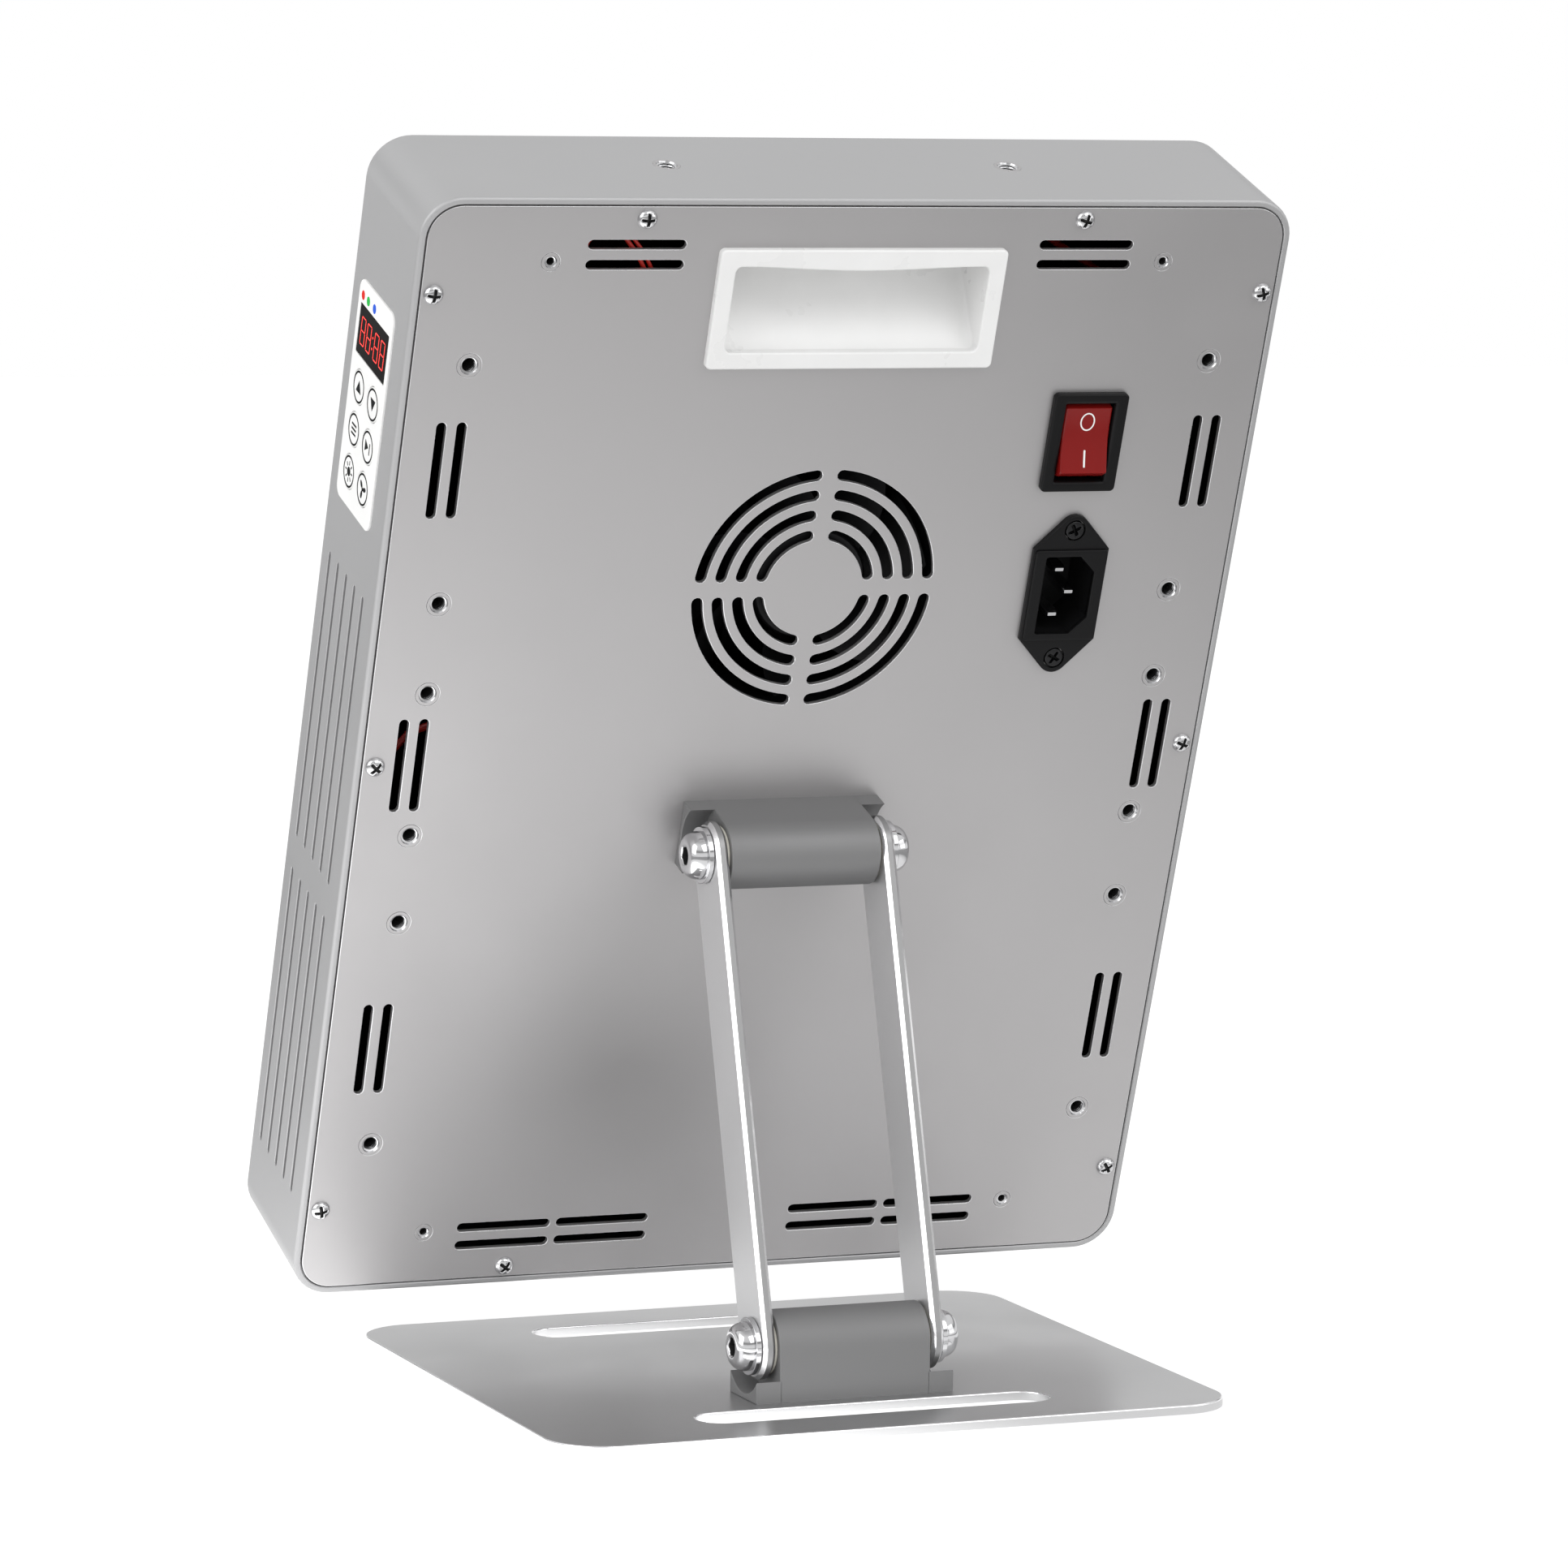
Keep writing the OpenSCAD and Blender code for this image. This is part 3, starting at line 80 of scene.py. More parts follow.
class PANEL_PG_stand(bpy.types.PropertyGroup):
    """Sizes of the base plate, the arms, the brackets and the pivots"""
    base_w: length("Base width", 203, "Width of the base plate")
    base_l: length("Base length", 185, "Length of the base plate from front to rear")
    base_t: length("Base thickness", 3, "Thickness of the base plate")
    base_r: length("Base corner", 17, "Radius of the base plate's corners")
    slot_l: length("Base slot length", 106, "Length of the two slots in the base plate")
    slot_w: length("Base slot width", 15, "Width of the two slots in the base plate")
    slot_y: length("Base slot place", 66, "Distance of the slots from the middle")
    arm_w: length("Arm width", 19.2, "Width of an arm")
    arm_t: length("Arm thickness", 3.6, "Thickness of an arm")
    arm_x: length("Arm place", 23.8, "Distance of an arm's inner face from the middle")
    chamfer: length("Arm chamfer", 1.0, "Chamfer along the edges of an arm")
    barrel: length("Barrel length", 45.7, "Length of a bracket between its friction washers")
    bracket_r: length("Bracket radius", 10, "Radius of a bracket's round back")
    foot: length("Foot length", 60, "Length of a bracket's foot")
    pocket_r: length("Pocket radius", 13.2, "Radius of the pockets in which the arms turn")
    bolt_r: length("Bolt radius", 4, "Radius of a pivot bolt's shank")
    head_r: length("Bolt head radius", 7, "Radius of a pivot bolt's head")
    head_h: length("Bolt head height", 4.6, "Height of a pivot bolt's head")
    washer_r: length("Washer radius", 8.2, "Radius of the washers")
    washer_t: length("Washer thickness", 1.6, "Thickness of the washer under a bolt's head")


class PANEL_PG_case(bpy.types.PropertyGroup):
    """Sizes of the case, the rear cover, its slots and the fan grille"""
    width: length("Case width", 260.5, "Width of the case")
    height: length("Case height", 339, "Height of the case along the panel")
    depth: length("Case depth", 49, "Depth of the case")
    corner: length("Case corner", 12, "Radius of the case's corners")
    wall: length("Wall", 2, "Thickness of the case's wall")
    cover_t: length("Cover thickness", 1.5, "Thickness of the rear cover")
    cover_gap: length("Cover gap", 0.4, "Gap between the rear cover and the rim")
    slot_l: length("Slot length", 28.6, "Length of a cooling slot")
    slot_w: length("Slot width", 2.8, "Width of a cooling slot")
    slot_pitch: length("Slot pitch", 5.9, "Distance between the two slots of a pair")
    vent_l: length("Vent length", 89, "Length of a side vent")
    vent_w: length("Vent width", 1.9, "Width of a side vent")
    vent_pitch: length("Vent pitch", 7.75, "Distance between neighbouring side vents")
    grille_r: length("Grille radius", 36.5, "Outer radius of the fan grille")
    grille_slot: length("Grille slot", 3.3, "Width of the grille's arc slots")
    grille_pitch: length("Grille pitch", 6.1, "Distance between the grille's rings")
    grille_web: length("Grille web", 4.6, "Width of the webs that cross the grille")
    grille_v: length("Grille height", 52, "Height of the grille over the middle of the cover")


class PANEL_PG_fittings(bpy.types.PropertyGroup):
    """Sizes of the handle, the power switch, the power inlet and the key panel"""
    handle_w: length("Handle width", 86, "Width of the handle's frame")
    handle_h: length("Handle height", 35.4, "Height of the handle's frame")
    handle_v: length("Handle place", 137.4, "Height of the handle over the middle of the cover")
    handle_rise: length("Handle rise", 2, "Height of the handle's frame over the cover")
    handle_depth: length("Handle depth", 20, "Depth of the finger recess at its upper edge")
    bezel_w: length("Bezel width", 23, "Width of the switch's bezel")
    bezel_h: length("Bezel height", 30, "Height of the switch's bezel")
    bezel_t: length("Bezel thickness", 2, "Thickness of the switch's bezel")
    rocker_w: length("Rocker width", 14.6, "Width of the rocker")
    rocker_r: length("Rocker radius", 11.6, "Radius of the rocker's ends about its pin")
    inlet_w: length("Inlet width", 23.4, "Width of the power inlet")
    inlet_side: length("Inlet side", 28.4, "Length of the inlet's straight sides")
    inlet_t: length("Inlet flange", 2.5, "Thickness of the inlet's flange")
    overlay_w: length("Overlay width", 30.4, "Width of the key panel's overlay")
    overlay_h: length("Overlay height", 64.8, "Height of the key panel's overlay")
    overlay_t: length("Overlay thickness", 0.6, "Thickness of the key panel's overlay")
    key_r: length("Key radius", 4.9, "Radius of a key")


class PANEL_PG_finish(bpy.types.PropertyGroup):
    """Colours of the metals and the plastics"""
    cover: tint("Cover", (0.485, 0.476, 0.479), "Satin aluminium of the rear cover")
    case: tint("Case", (0.47, 0.47, 0.475), "Satin aluminium of the case")
    stand: tint("Base", (0.60, 0.60, 0.605), "Satin aluminium of the base plate")
    arm: tint("Arms", (0.66, 0.66, 0.665), "Satin aluminium of the arms")
    bracket: tint("Bracket", (0.23, 0.23, 0.232), "Darker satin aluminium of the brackets")
    # Also paints highlight on the base plate's edges and, darkened, on the cover's cut rims
    bright: tint("Bright edge", (0.93, 0.93, 0.94), "Polished edges of the arms")
    steel: tint("Steel", (0.64, 0.64, 0.65), "Polished steel of bolts, washers and screws")
    white: tint("White plastic", (0.80, 0.80, 0.795), "Plastic of the handle")
    black: tint("Black plastic", (0.007, 0.007, 0.0075), "Plastic of the bezel and the inlet")
    rocker: tint("Rocker", (0.26, 0.009, 0.008), "Translucent red plastic of the rocker")
    glow: tint("Digits", (0.95, 0.03, 0.02), "Lit digits of the display")


# ---------------------------------------------------------------- forms
# A form is a pair: an (N, 3) array of points and a list of (faces, mark) pairs, where faces is
# an (M, sides) array of point numbers and mark is the number of their material.

def join(*forms):
    """One form out of several, with the point numbers of each moved on past the one before."""
    points, groups, start = [], [], 0
    for some_points, some_groups in forms:
        points.append(some_points)
        groups += [(faces + start, mark) for faces, mark in some_groups]
        start += len(some_points)
    return np.concatenate(points), groups


def seat(origin, across, up):
    """A place: two axes, their cross product as the third axis, and the origin."""
    across, up = np.asarray(across, float), np.asarray(up, float)
    return np.array([across, up, np.cross(across, up), np.asarray(origin, float)])


def put(form, place):
    """The form moved from a place's own axes into the row frame."""
    points, groups = form
    return points @ place[:3] + place[3], groups


def at(form, *offset):
    """The form moved by an offset."""
    points, groups = form
    return points + np.array(offset), groups


def spun(form, angle):
    """The form turned anticlockwise about the third axis: (x cos - y sin, x sin + y cos)."""
    points, groups = form
    turn = np.array([[math.cos(angle), math.sin(angle), 0], [-math.sin(angle), math.cos(angle), 0],
                     [0, 0, 1]])
    return points @ turn, groups


def repeat(form, spots):
    """The form at each of several (a, b) spots."""
    return join(*[at(form, a, b, 0) for a, b in spots])


def all_round(form, count):
    """The form at a number of even angles all the way round the third axis."""
    return join(*[spun(form, 2 * math.pi * n / count) for n in range(count)])


def full_turn(steps):
    """Even angles from 0 up to, but without, a full turn."""
    return np.linspace(0, 2 * math.pi, steps, endpoint=False)


def on_circle(angles):
    """Points (cos t, sin t) of the unit circle."""
    return np.column_stack([np.cos(angles), np.sin(angles)])


def level(line, height):
    """A closed line as a row of points at a height, or at a height for each point."""
    return np.column_stack([line, np.broadcast_to(np.asarray(height, float), len(line))])


def skin(rows, loop=False, first=False, last=False, mark=0, leave_out=()):
    """A surface through rows of points, every row a closed curve with the same number of points.

    loop joins the last row to the first, and first and last close the end rows with a fan about
    their middle. Rows that run anticlockwise and climb look outwards. leave_out holds the
    (row, point) numbers of faces that are not made.
    """
    rows = np.asarray(rows, float)
    count, around = rows.shape[:2]
    k = np.arange(count if loop else count - 1)[:, None]
    i = np.arange(around)[None, :]
    k_next, i_next = (k + 1) % count, (i + 1) % around
    faces = np.stack(np.broadcast_arrays(k * around + i, k * around + i_next,
                                         k_next * around + i_next, k_next * around + i), axis=-1)
    wanted = np.ones(faces.shape[:2], bool)
    for row, point in leave_out:
        wanted[row, point] = False
    points, groups = rows.reshape(-1, 3), [(faces[wanted], mark)]
    ring = np.arange(around)
    for closed, row, order in ((first, 0, -1), (last, count - 1, 1)):
        if closed:
            middle = np.full(around, len(points))
            points = np.vstack([points, rows[row].mean(0)])
            one, other = row * around + np.array((ring, (ring + 1) % around)[::order])
            groups.append((np.stack([middle, one, other], 1), mark))
    return points, groups


def marked(form, inside, mark):
    """Gives the faces whose middle passes the test the number of another material."""
    points, groups = form
    parts = []
    for faces, old in groups:
        hit = inside(points[faces].mean(axis=1))
        parts += [(faces[~hit], old), (faces[hit], mark)]
    return points, parts


def outward(line):
    """Mitred outward normals of a closed line: the mean of two edge normals, lengthened so that
    an offset by d moves both edges by d. An edge (dx, dy) has the normal (dy, -dx)."""
    edge = np.roll(line, -1, 0) - line
    normal = np.stack([edge[:, 1], -edge[:, 0]], 1)
    normal /= np.linalg.norm(normal, axis=1)[:, None]
    mean = normal + np.roll(normal, 1, 0)
    return mean / (1 + (normal * np.roll(normal, 1, 0)).sum(1))[:, None]


def turned(line, anticlockwise=True):
    """The closed line in the direction asked for: twice its area is the sum of x dy - y dx."""
    x, y = line.T
    area = float(np.sum(x * np.roll(y, -1) - y * np.roll(x, -1)))
    return line if (area > 0) == anticlockwise else line[::-1]


def edge_rows(line, edge):
    """A closed line drawn in by each (inset, height) of an edge section, at that height."""
    normals = outward(line)
    return [level(line - inset * normals, height) for inset, height in edge]


def lid(outlines, height, up=True, mark=0):
    """A flat face at a height, with the first outline outside and the others as holes.

    A Delaunay triangulation that keeps the outlines' edges covers their convex hull. A triangle
    stays if a ray from its middle along the first axis crosses the edges an odd number of times.
    """
    flat = np.concatenate(outlines)
    edges, start = [], 0
    for line in outlines:
        ring = start + np.arange(len(line))
        edges.append(np.column_stack([ring, np.roll(ring, -1)]))
        start += len(line)
    edges = np.concatenate(edges)
    found = delaunay_2d_cdt([Vector(point) for point in flat / MM], edges.tolist(), [], 0, 1e-5)
    faces = np.array([names[0] for names in found[3]])[np.array(found[2])]
    middle = flat[faces].mean(1)[:, None]
    a, b = flat[edges[:, 0]], flat[edges[:, 1]]
    beside = (a[:, 1] > middle[..., 1]) != (b[:, 1] > middle[..., 1])
    rise = np.where(a[:, 1] == b[:, 1], 1.0, b[:, 1] - a[:, 1])
    crossing = a[:, 0] + (middle[..., 1] - a[:, 1]) * (b[:, 0] - a[:, 0]) / rise
    faces = faces[(beside & (middle[..., 0] < crossing)).sum(1) % 2 == 1]
    a, b, c = flat[faces[:, 0]], flat[faces[:, 1]], flat[faces[:, 2]]
    side = (b[:, 0] - a[:, 0]) * (c[:, 1] - a[:, 1]) - (b[:, 1] - a[:, 1]) * (c[:, 0] - a[:, 0])
    wrong = (side > 0) != up
    faces[wrong] = faces[wrong][:, ::-1]
    return np.column_stack([flat, np.full(len(flat), height)]), [(faces, mark)]


def plate(outlines, *edges, marks=None, lids=(0, 0)):
    """A sheet with holes. The first outline is the outside and the others are holes.

    An edge is a list of (inset, height) from bottom to top, where inset is measured into the
    material. One edge serves all outlines, or there is one for each. marks gives a material
    number to each band of the edges, and lids to the bottom and the top.
    """
    lines = [turned(line, n == 0) for n, line in enumerate(outlines)]
    edges = list(edges) * (len(lines) if len(edges) == 1 else 1)
    parts, low, high = [], [], []
    for line, edge in zip(lines, edges):
        rows = edge_rows(line, edge)
        bands = marks or [0] * (len(edge) - 1)
        parts += [skin(rows[n:n + 2], mark=bands[n]) for n in range(len(edge) - 1)]
        low.append(rows[0][:, :2])
        high.append(rows[-1][:, :2])
    return join(*parts, lid(low, edges[0][0][1], up=False, mark=lids[0]),
                lid(high, edges[0][-1][1], mark=lids[1]))


def round_edge(low, high, radius, steps=4, both=False):
    """An edge section from low to high whose top, or both ends, is a quarter circle."""
    angles = np.linspace(0, math.pi / 2, steps + 1)
    top = [(radius * (1 - math.cos(a)), high - radius * (1 - math.sin(a))) for a in angles]
    bottom = [(inset, low + high - h) for inset, h in top[::-1]] if both else [(0.0, low)]
    return bottom + top


def box_line(width, height, radius=0.0, steps=8, along=1, inset=0.0):
    """Rectangle with round corners, drawn in by inset, anticlockwise from the lower right.

    Each corner is an arc of so many steps, and each side is cut into along parts.
    """
    width, height, radius = width - 2 * inset, height - 2 * inset, max(radius - inset, 0.0)
    corners = []
    for n, (sx, sy) in enumerate(((1, -1), (1, 1), (-1, 1), (-1, -1))):
        angles = np.radians(np.linspace(-90, 0, steps + 1) + 90 * n) if radius else np.zeros(1)
        middle = np.array([sx * (width / 2 - radius), sy * (height / 2 - radius)])
        corners.append(middle + radius * on_circle(angles))
    share = np.arange(1, along)[:, None] / along
    sides = [corners[n][-1] * (1 - share) + corners[(n + 1) % 4][0] * share for n in range(4)]
    return np.concatenate([part for pair in zip(corners, sides) for part in pair])


def slot_line(size, width, steps=8, upright=False):
    """Slot with round ends, lying along the first axis or standing along the second."""
    angles = np.linspace(-math.pi / 2, math.pi / 2, steps + 1)
    end = width / 2 * on_circle(angles) + (size / 2 - width / 2, 0)
    line = np.vstack([end, -end])
    return line[:, ::-1][::-1] if upright else line


def circle_line(radius, steps=32):
    """Circle, anticlockwise from the first axis."""
    return radius * on_circle(full_turn(steps))


def arc_slot_line(middle, width, start, end, steps=20, end_steps=6):
    """Slot with round ends along an arc of radius middle, from one angle of its end circles to
    the other."""
    sweep = np.linspace(start, end, steps + 1)
    outer = (middle + width / 2) * on_circle(sweep)
    inner = (middle - width / 2) * on_circle(sweep)[::-1]
    half = np.linspace(0, math.pi, end_steps + 1)[1:-1]
    tips = [middle * on_circle([angle]) + width / 2 * on_circle(first + half)
            for angle, first in ((end, end), (start, start + math.pi))]
    return np.concatenate([outer, tips[0], inner, tips[1]])


def bent(line, radii, steps=4):
    """A closed polygon with its corners rounded by arcs of the given radii."""
    points = []
    for n, corner in enumerate(line):
        before, after = line[n - 1] - corner, line[(n + 1) % len(line)] - corner
        before, after = before / np.linalg.norm(before), after / np.linalg.norm(after)
        half = 0.5 * math.acos(float(np.clip(before @ after, -1, 1)))
        reach = radii[n] / math.tan(half)
        inwards = (before + after) / np.linalg.norm(before + after)
        middle = corner + inwards * radii[n] / math.sin(half)
        start, end = corner + reach * before - middle, corner + reach * after - middle
        share = np.linspace(0, 1, steps + 1)[:, None]
        fan = start * (1 - share) + end * share
        points.append(middle + radii[n] * fan / np.linalg.norm(fan, axis=1)[:, None])
    return np.concatenate(points)


def lathe(profile, steps=32, **how):
    """A profile of (radius, height) turned about the third axis: (r cos t, r sin t, h).

    A radius may be an array with one value for each step. how is passed on to skin.
    """
    angle = full_turn(steps)
    rows = [np.column_stack([r * np.cos(angle), r * np.sin(angle), np.full(steps, h)])
            for r, h in profile]
    return skin(rows, **how)


def tube(route, radius, sides=12):
    """A round tube along a route, its section kept upright to the route at every point.

    The route is smoothed first: each stretch follows a cubic that leaves and meets its ends
    along the line between their neighbours.
    """
    route = np.asarray(route, float)
    slope = np.gradient(route, axis=0)
    t = np.linspace(0, 1, 9)[:-1, None]
    h = [2 * t**3 - 3 * t**2 + 1, t**3 - 2 * t**2 + t, -2 * t**3 + 3 * t**2, t**3 - t**2]
    smooth = [h[0] * route[n] + h[1] * slope[n] + h[2] * route[n + 1] + h[3] * slope[n + 1]
              for n in range(len(route) - 1)]
    path = np.concatenate(smooth + [route[-1:]])
    along = np.gradient(path, axis=0)
    along /= np.linalg.norm(along, axis=1)[:, None]
    side = np.empty_like(path)
    side[0] = np.cross(along[0], (0.31, 0.17, 0.94))       # any direction that isn't the first one
    for n in range(1, len(path)):
        side[n] = side[n - 1] - along[n] * (side[n - 1] @ along[n])
    side /= np.linalg.norm(side, axis=1)[:, None]
    other = np.cross(along, side)
    angle = full_turn(sides)[None, :, None]
    ring = np.cos(angle) * side[:, None] + np.sin(angle) * other[:, None]
    return skin(path[:, None] + radius * ring, first=True, last=True)


def make(name, form, body, materials, replaced=(), smooth=35):
    """Makes a form into an object that rides on a body and stands for the replaced CAD nodes.

    The materials are numbered as the form's marks are, and edges that turn by less than
    smooth degrees look soft.
    """
    points, groups = form
    mesh = bpy.data.meshes.new(name)
    sides = np.concatenate([np.full(len(faces), faces.shape[1]) for faces, _ in groups])
    marks = np.concatenate([np.full(len(faces), mark) for faces, mark in groups])
    corners = np.concatenate([faces.ravel() for faces, _ in groups])
    mesh.vertices.add(len(points))
    mesh.vertices.foreach_set("co", points.ravel())
    mesh.loops.add(len(corners))
    mesh.loops.foreach_set("vertex_index", corners)
    mesh.polygons.add(len(sides))
    mesh.polygons.foreach_set("loop_start", np.concatenate([[0], np.cumsum(sides)[:-1]]))
    mesh.polygons.foreach_set("material_index", marks)
    mesh.update(calc_edges=True)
    weld = bmesh.new()                     # closes the seams between neighbouring surfaces
    weld.from_mesh(mesh)
    bmesh.ops.remove_doubles(weld, verts=weld.verts, dist=1e-6)
    weld.to_mesh(mesh)
    weld.free()
    mesh.validate()
    mesh.polygons.foreach_set("use_smooth", np.ones(len(mesh.polygons), bool))
    mesh.set_sharp_from_angle(angle=math.radians(smooth))
    for material in materials:
        mesh.materials.append(material)
    piece = bpy.data.objects.new(name, mesh)
    bpy.context.scene.collection.objects.link(piece)
    evened = piece.modifiers.new("Even normals", "WEIGHTED_NORMAL")
    evened.keep_sharp = True
    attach(piece, body)
    if replaced:
        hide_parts(*replaced)
    return piece


def paint(material, *nodes):
    """Gives CAD nodes their material."""
    for node in nodes:
        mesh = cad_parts[node].data
        mesh.materials.clear()
        mesh.materials.append(material)


# ---------------------------------------------------------------- materials

MIX_FACTOR, MIX_A, MIX_B, MIX_RESULT = 0, 6, 7, 2      # the sockets of a mix node for colours
NOISE_LOW, NOISE_HIGH = 0.3, 0.7                       # between these lies most of a noise


def give(node, **inputs):
    """Puts values on a node's inputs, which are named with underscores for spaces."""
    for name, value in inputs.items():
        node.inputs[name.replace("_", " ")].default_value = value
    return node


def add(tree, kind, **inputs):
    """A new node of a kind, with values on its inputs."""
    return give(tree.nodes.new(kind), **inputs)


def wire(tree, *wires):
    """Links nodes, each wire being (node, output, next node, input)."""
    for source, output, target, entry in wires:
        tree.links.new(source.outputs[output], target.inputs[entry])


def surface(name, colour, metallic=0.0, roughness=0.5, grain=0.4 * MM, relief=0.01 * MM, tone=0.04,
            patch=40 * MM, wear=0.15, **inputs):
    """A Principled material with its detail worked out from object coordinates.

    Broad noise of the size of patch lifts and lowers the tone by a share of the colour and the
    roughness by a share of wear, and fine noise of the size of grain raises the relief.
    """
    name += "_finish"              # the CAD nodes' own plain materials have the bare names
    material = bpy.data.materials.get(name)
    if material:
        return material
    material = bpy.data.materials.new(name)
    material.use_nodes = True
    tree = material.node_tree
    shader = give(tree.nodes["Principled BSDF"], Metallic=metallic, **inputs)
    place = add(tree, "ShaderNodeTexCoord")
    broad = add(tree, "ShaderNodeTexNoise", Scale=1 / patch, Detail=4)
    mix = add(tree, "ShaderNodeMix")
    mix.data_type = "RGBA"
    for socket, share in ((MIX_A, 1 - tone), (MIX_B, 1 + tone)):
        mix.inputs[socket].default_value = (*[min(1.0, c * share) for c in colour], 1)
    rough = add(tree, "ShaderNodeMapRange", From_Min=NOISE_LOW, From_Max=NOISE_HIGH,
                To_Min=roughness * (1 - wear), To_Max=roughness * (1 + wear))
    fine = add(tree, "ShaderNodeTexNoise", Scale=1 / grain, Detail=2)
    bump = add(tree, "ShaderNodeBump", Strength=1.0, Distance=relief)
    wire(tree, (place, "Object", broad, "Vector"), (broad, "Fac", mix, MIX_FACTOR),
         (mix, MIX_RESULT, shader, "Base Color"),
         (broad, "Fac", rough, "Value"), (rough, "Result", shader, "Roughness"),
         (place, "Object", fine, "Vector"), (fine, "Fac", bump, "Height"),
         (bump, "Normal", shader, "Normal"))
    return material


def darker(colour, share):
    """The colour brought down to a share of itself."""
    return [share * part for part in colour]


def satin(name, colour, roughness=0.3, metallic=1.0):
    """Blasted and anodised aluminium: a fine grain under a soft sheen."""
    return surface(name, colour, metallic=metallic, roughness=roughness, grain=0.35 * MM,
                   relief=0.004 * MM, tone=0.02, patch=60 * MM, wear=0.12)


def polished(name, colour, roughness=0.1):
    """Bright metal with faint marks of handling."""
    return surface(name, colour, metallic=1.0, roughness=roughness, grain=0.6 * MM,
                   relief=0.002 * MM, tone=0.03, patch=5 * MM, wear=0.35)


def plastic(name, colour, roughness=0.4, relief=0.01 * MM, **inputs):
    """Moulded plastic with a fine texture."""
    return surface(name, colour, roughness=roughness, grain=0.3 * MM, relief=relief,
                   tone=0.05, patch=15 * MM, **inputs)


# The finishes that several pieces share

def cover_metal(finish):
    return satin("cover_aluminium", finish.cover, 0.45, 0.8)


def case_metal(finish):
    return satin("case_aluminium", finish.case, 0.5, 0.55)


# Polished metal on the arms' chamfers, and painted highlight on the base plate's edges
def polish_and_highlight(finish):
    return polished("polished_edge_and_highlight", finish.bright, 0.16)


def steel(finish):
    return polished("polished_steel", finish.steel, 0.08)


def black_plastic(finish):
    return plastic("black_plastic", finish.black, 0.36, Specular_IOR_Level=0.15)


def fan_plastic():
    return plastic("fan_plastic", (0.008, 0.008, 0.009), 0.45, Specular_IOR_Level=0.2)


def printing(name, colour):
    """Screen-printed ink: a thin, dull, slightly uneven film."""
    return surface(name, colour, roughness=0.6, grain=0.15 * MM, relief=0.002 * MM, patch=1.5 * MM,
                   Specular_IOR_Level=0.05)


def painted_shade_steel(finish):
    """Steel in a recess or a thread, darkened as painted shade."""
    return surface("recess_painted_shade", darker(finish.steel, 0.06), metallic=0.6, roughness=0.5,
                   grain=0.3 * MM, relief=0.006 * MM, patch=3 * MM)


def lit(name, colour, strength):
    """A lamp behind a tinted window."""
    return surface(name, colour, roughness=0.3, grain=0.2 * MM, relief=0.001 * MM, patch=2 * MM,
                   Emission_Color=(*colour, 1), Emission_Strength=strength)


def see_through(name, colour, roughness, ior, share=1.0, **inputs):
    """Clear or tinted moulded material that lets a share of the light through."""
    return surface(name, colour, roughness=roughness, grain=1.5 * MM, relief=0.002 * MM, tone=0.03,
                   patch=6 * MM, Transmission_Weight=share, IOR=ior, **inputs)


# ---------------------------------------------------------------- places on the part

def rear_place(u=0.0, v=0.0, out=0.0):
    """A spot on the rear cover: u to the right, v up and the third axis out of the cover."""
    return seat(COVER_MIDDLE + u * RIGHT + v * UPWARD + out * OUTWARD, RIGHT, UPWARD)


def key_side(case, depth, v):
    """A spot on the wall with the keys: first axis to the rear, second up, third out of it."""
    wall = COVER_MIDDLE - case.width / 2 * RIGHT
    return seat(wall - depth * OUTWARD + v * UPWARD, OUTWARD, UPWARD)


def far_side(case, depth, v):
    """A spot on the wall across from the keys: first axis to the front, second up, third out."""
    wall = COVER_MIDDLE + case.width / 2 * RIGHT
    return seat(wall - depth * OUTWARD + v * UPWARD, -OUTWARD, UPWARD)


def top_side(case, x, depth):
    """A spot on the top wall: first axis along +X, second to the rear, third out of the wall."""
    wall = COVER_MIDDLE + case.height / 2 * UPWARD
    return seat(wall - x * RIGHT - depth * OUTWARD, -RIGHT, OUTWARD)


def bracket_places():
    """The places of the two brackets on what they stand on: across, away from it, along +X."""
    lower = seat(LOWER_PIVOT - (0, 0, PIVOT_HEIGHT), (0, 1, 0), (0, 0, 1))
    upper = seat(UPPER_PIVOT - PIVOT_HEIGHT * OUTWARD, -UPWARD, OUTWARD)
    return (("lower", "base", lower), ("upper", "head", upper))


# ---------------------------------------------------------------- stand

class PANEL_OT_base_plate(bpy.types.Operator):
    """Base plate: a round-cornered sheet with two long slots and broken edges brightened as painted
    highlight
    """
    bl_idname = "panel.base_plate"
    bl_label = "Base Plate"

    def execute(self, context):
        stand, finish = context.scene.panel_stand, context.scene.panel_finish
        slot = slot_line(stand.slot_l, stand.slot_w, 12)
        outlines = [box_line(stand.base_w, stand.base_l, stand.base_r, 16),
                    slot + (0, stand.slot_y), slot - (0, stand.slot_y)]
        broken = 0.45 * MM
        # The rounded bands of the edge take the bright metal, a painted highlight.
        form = plate(outlines, round_edge(0, stand.base_t, broken, 3, both=True),
                     marks=[1, 1, 1, 0, 1, 1, 1])
        make("base_plate_piece", form, "base",
             [satin("base_aluminium", finish.stand, 0.32), polish_and_highlight(finish)],
             ["base_plate"])
        return {"FINISHED"}


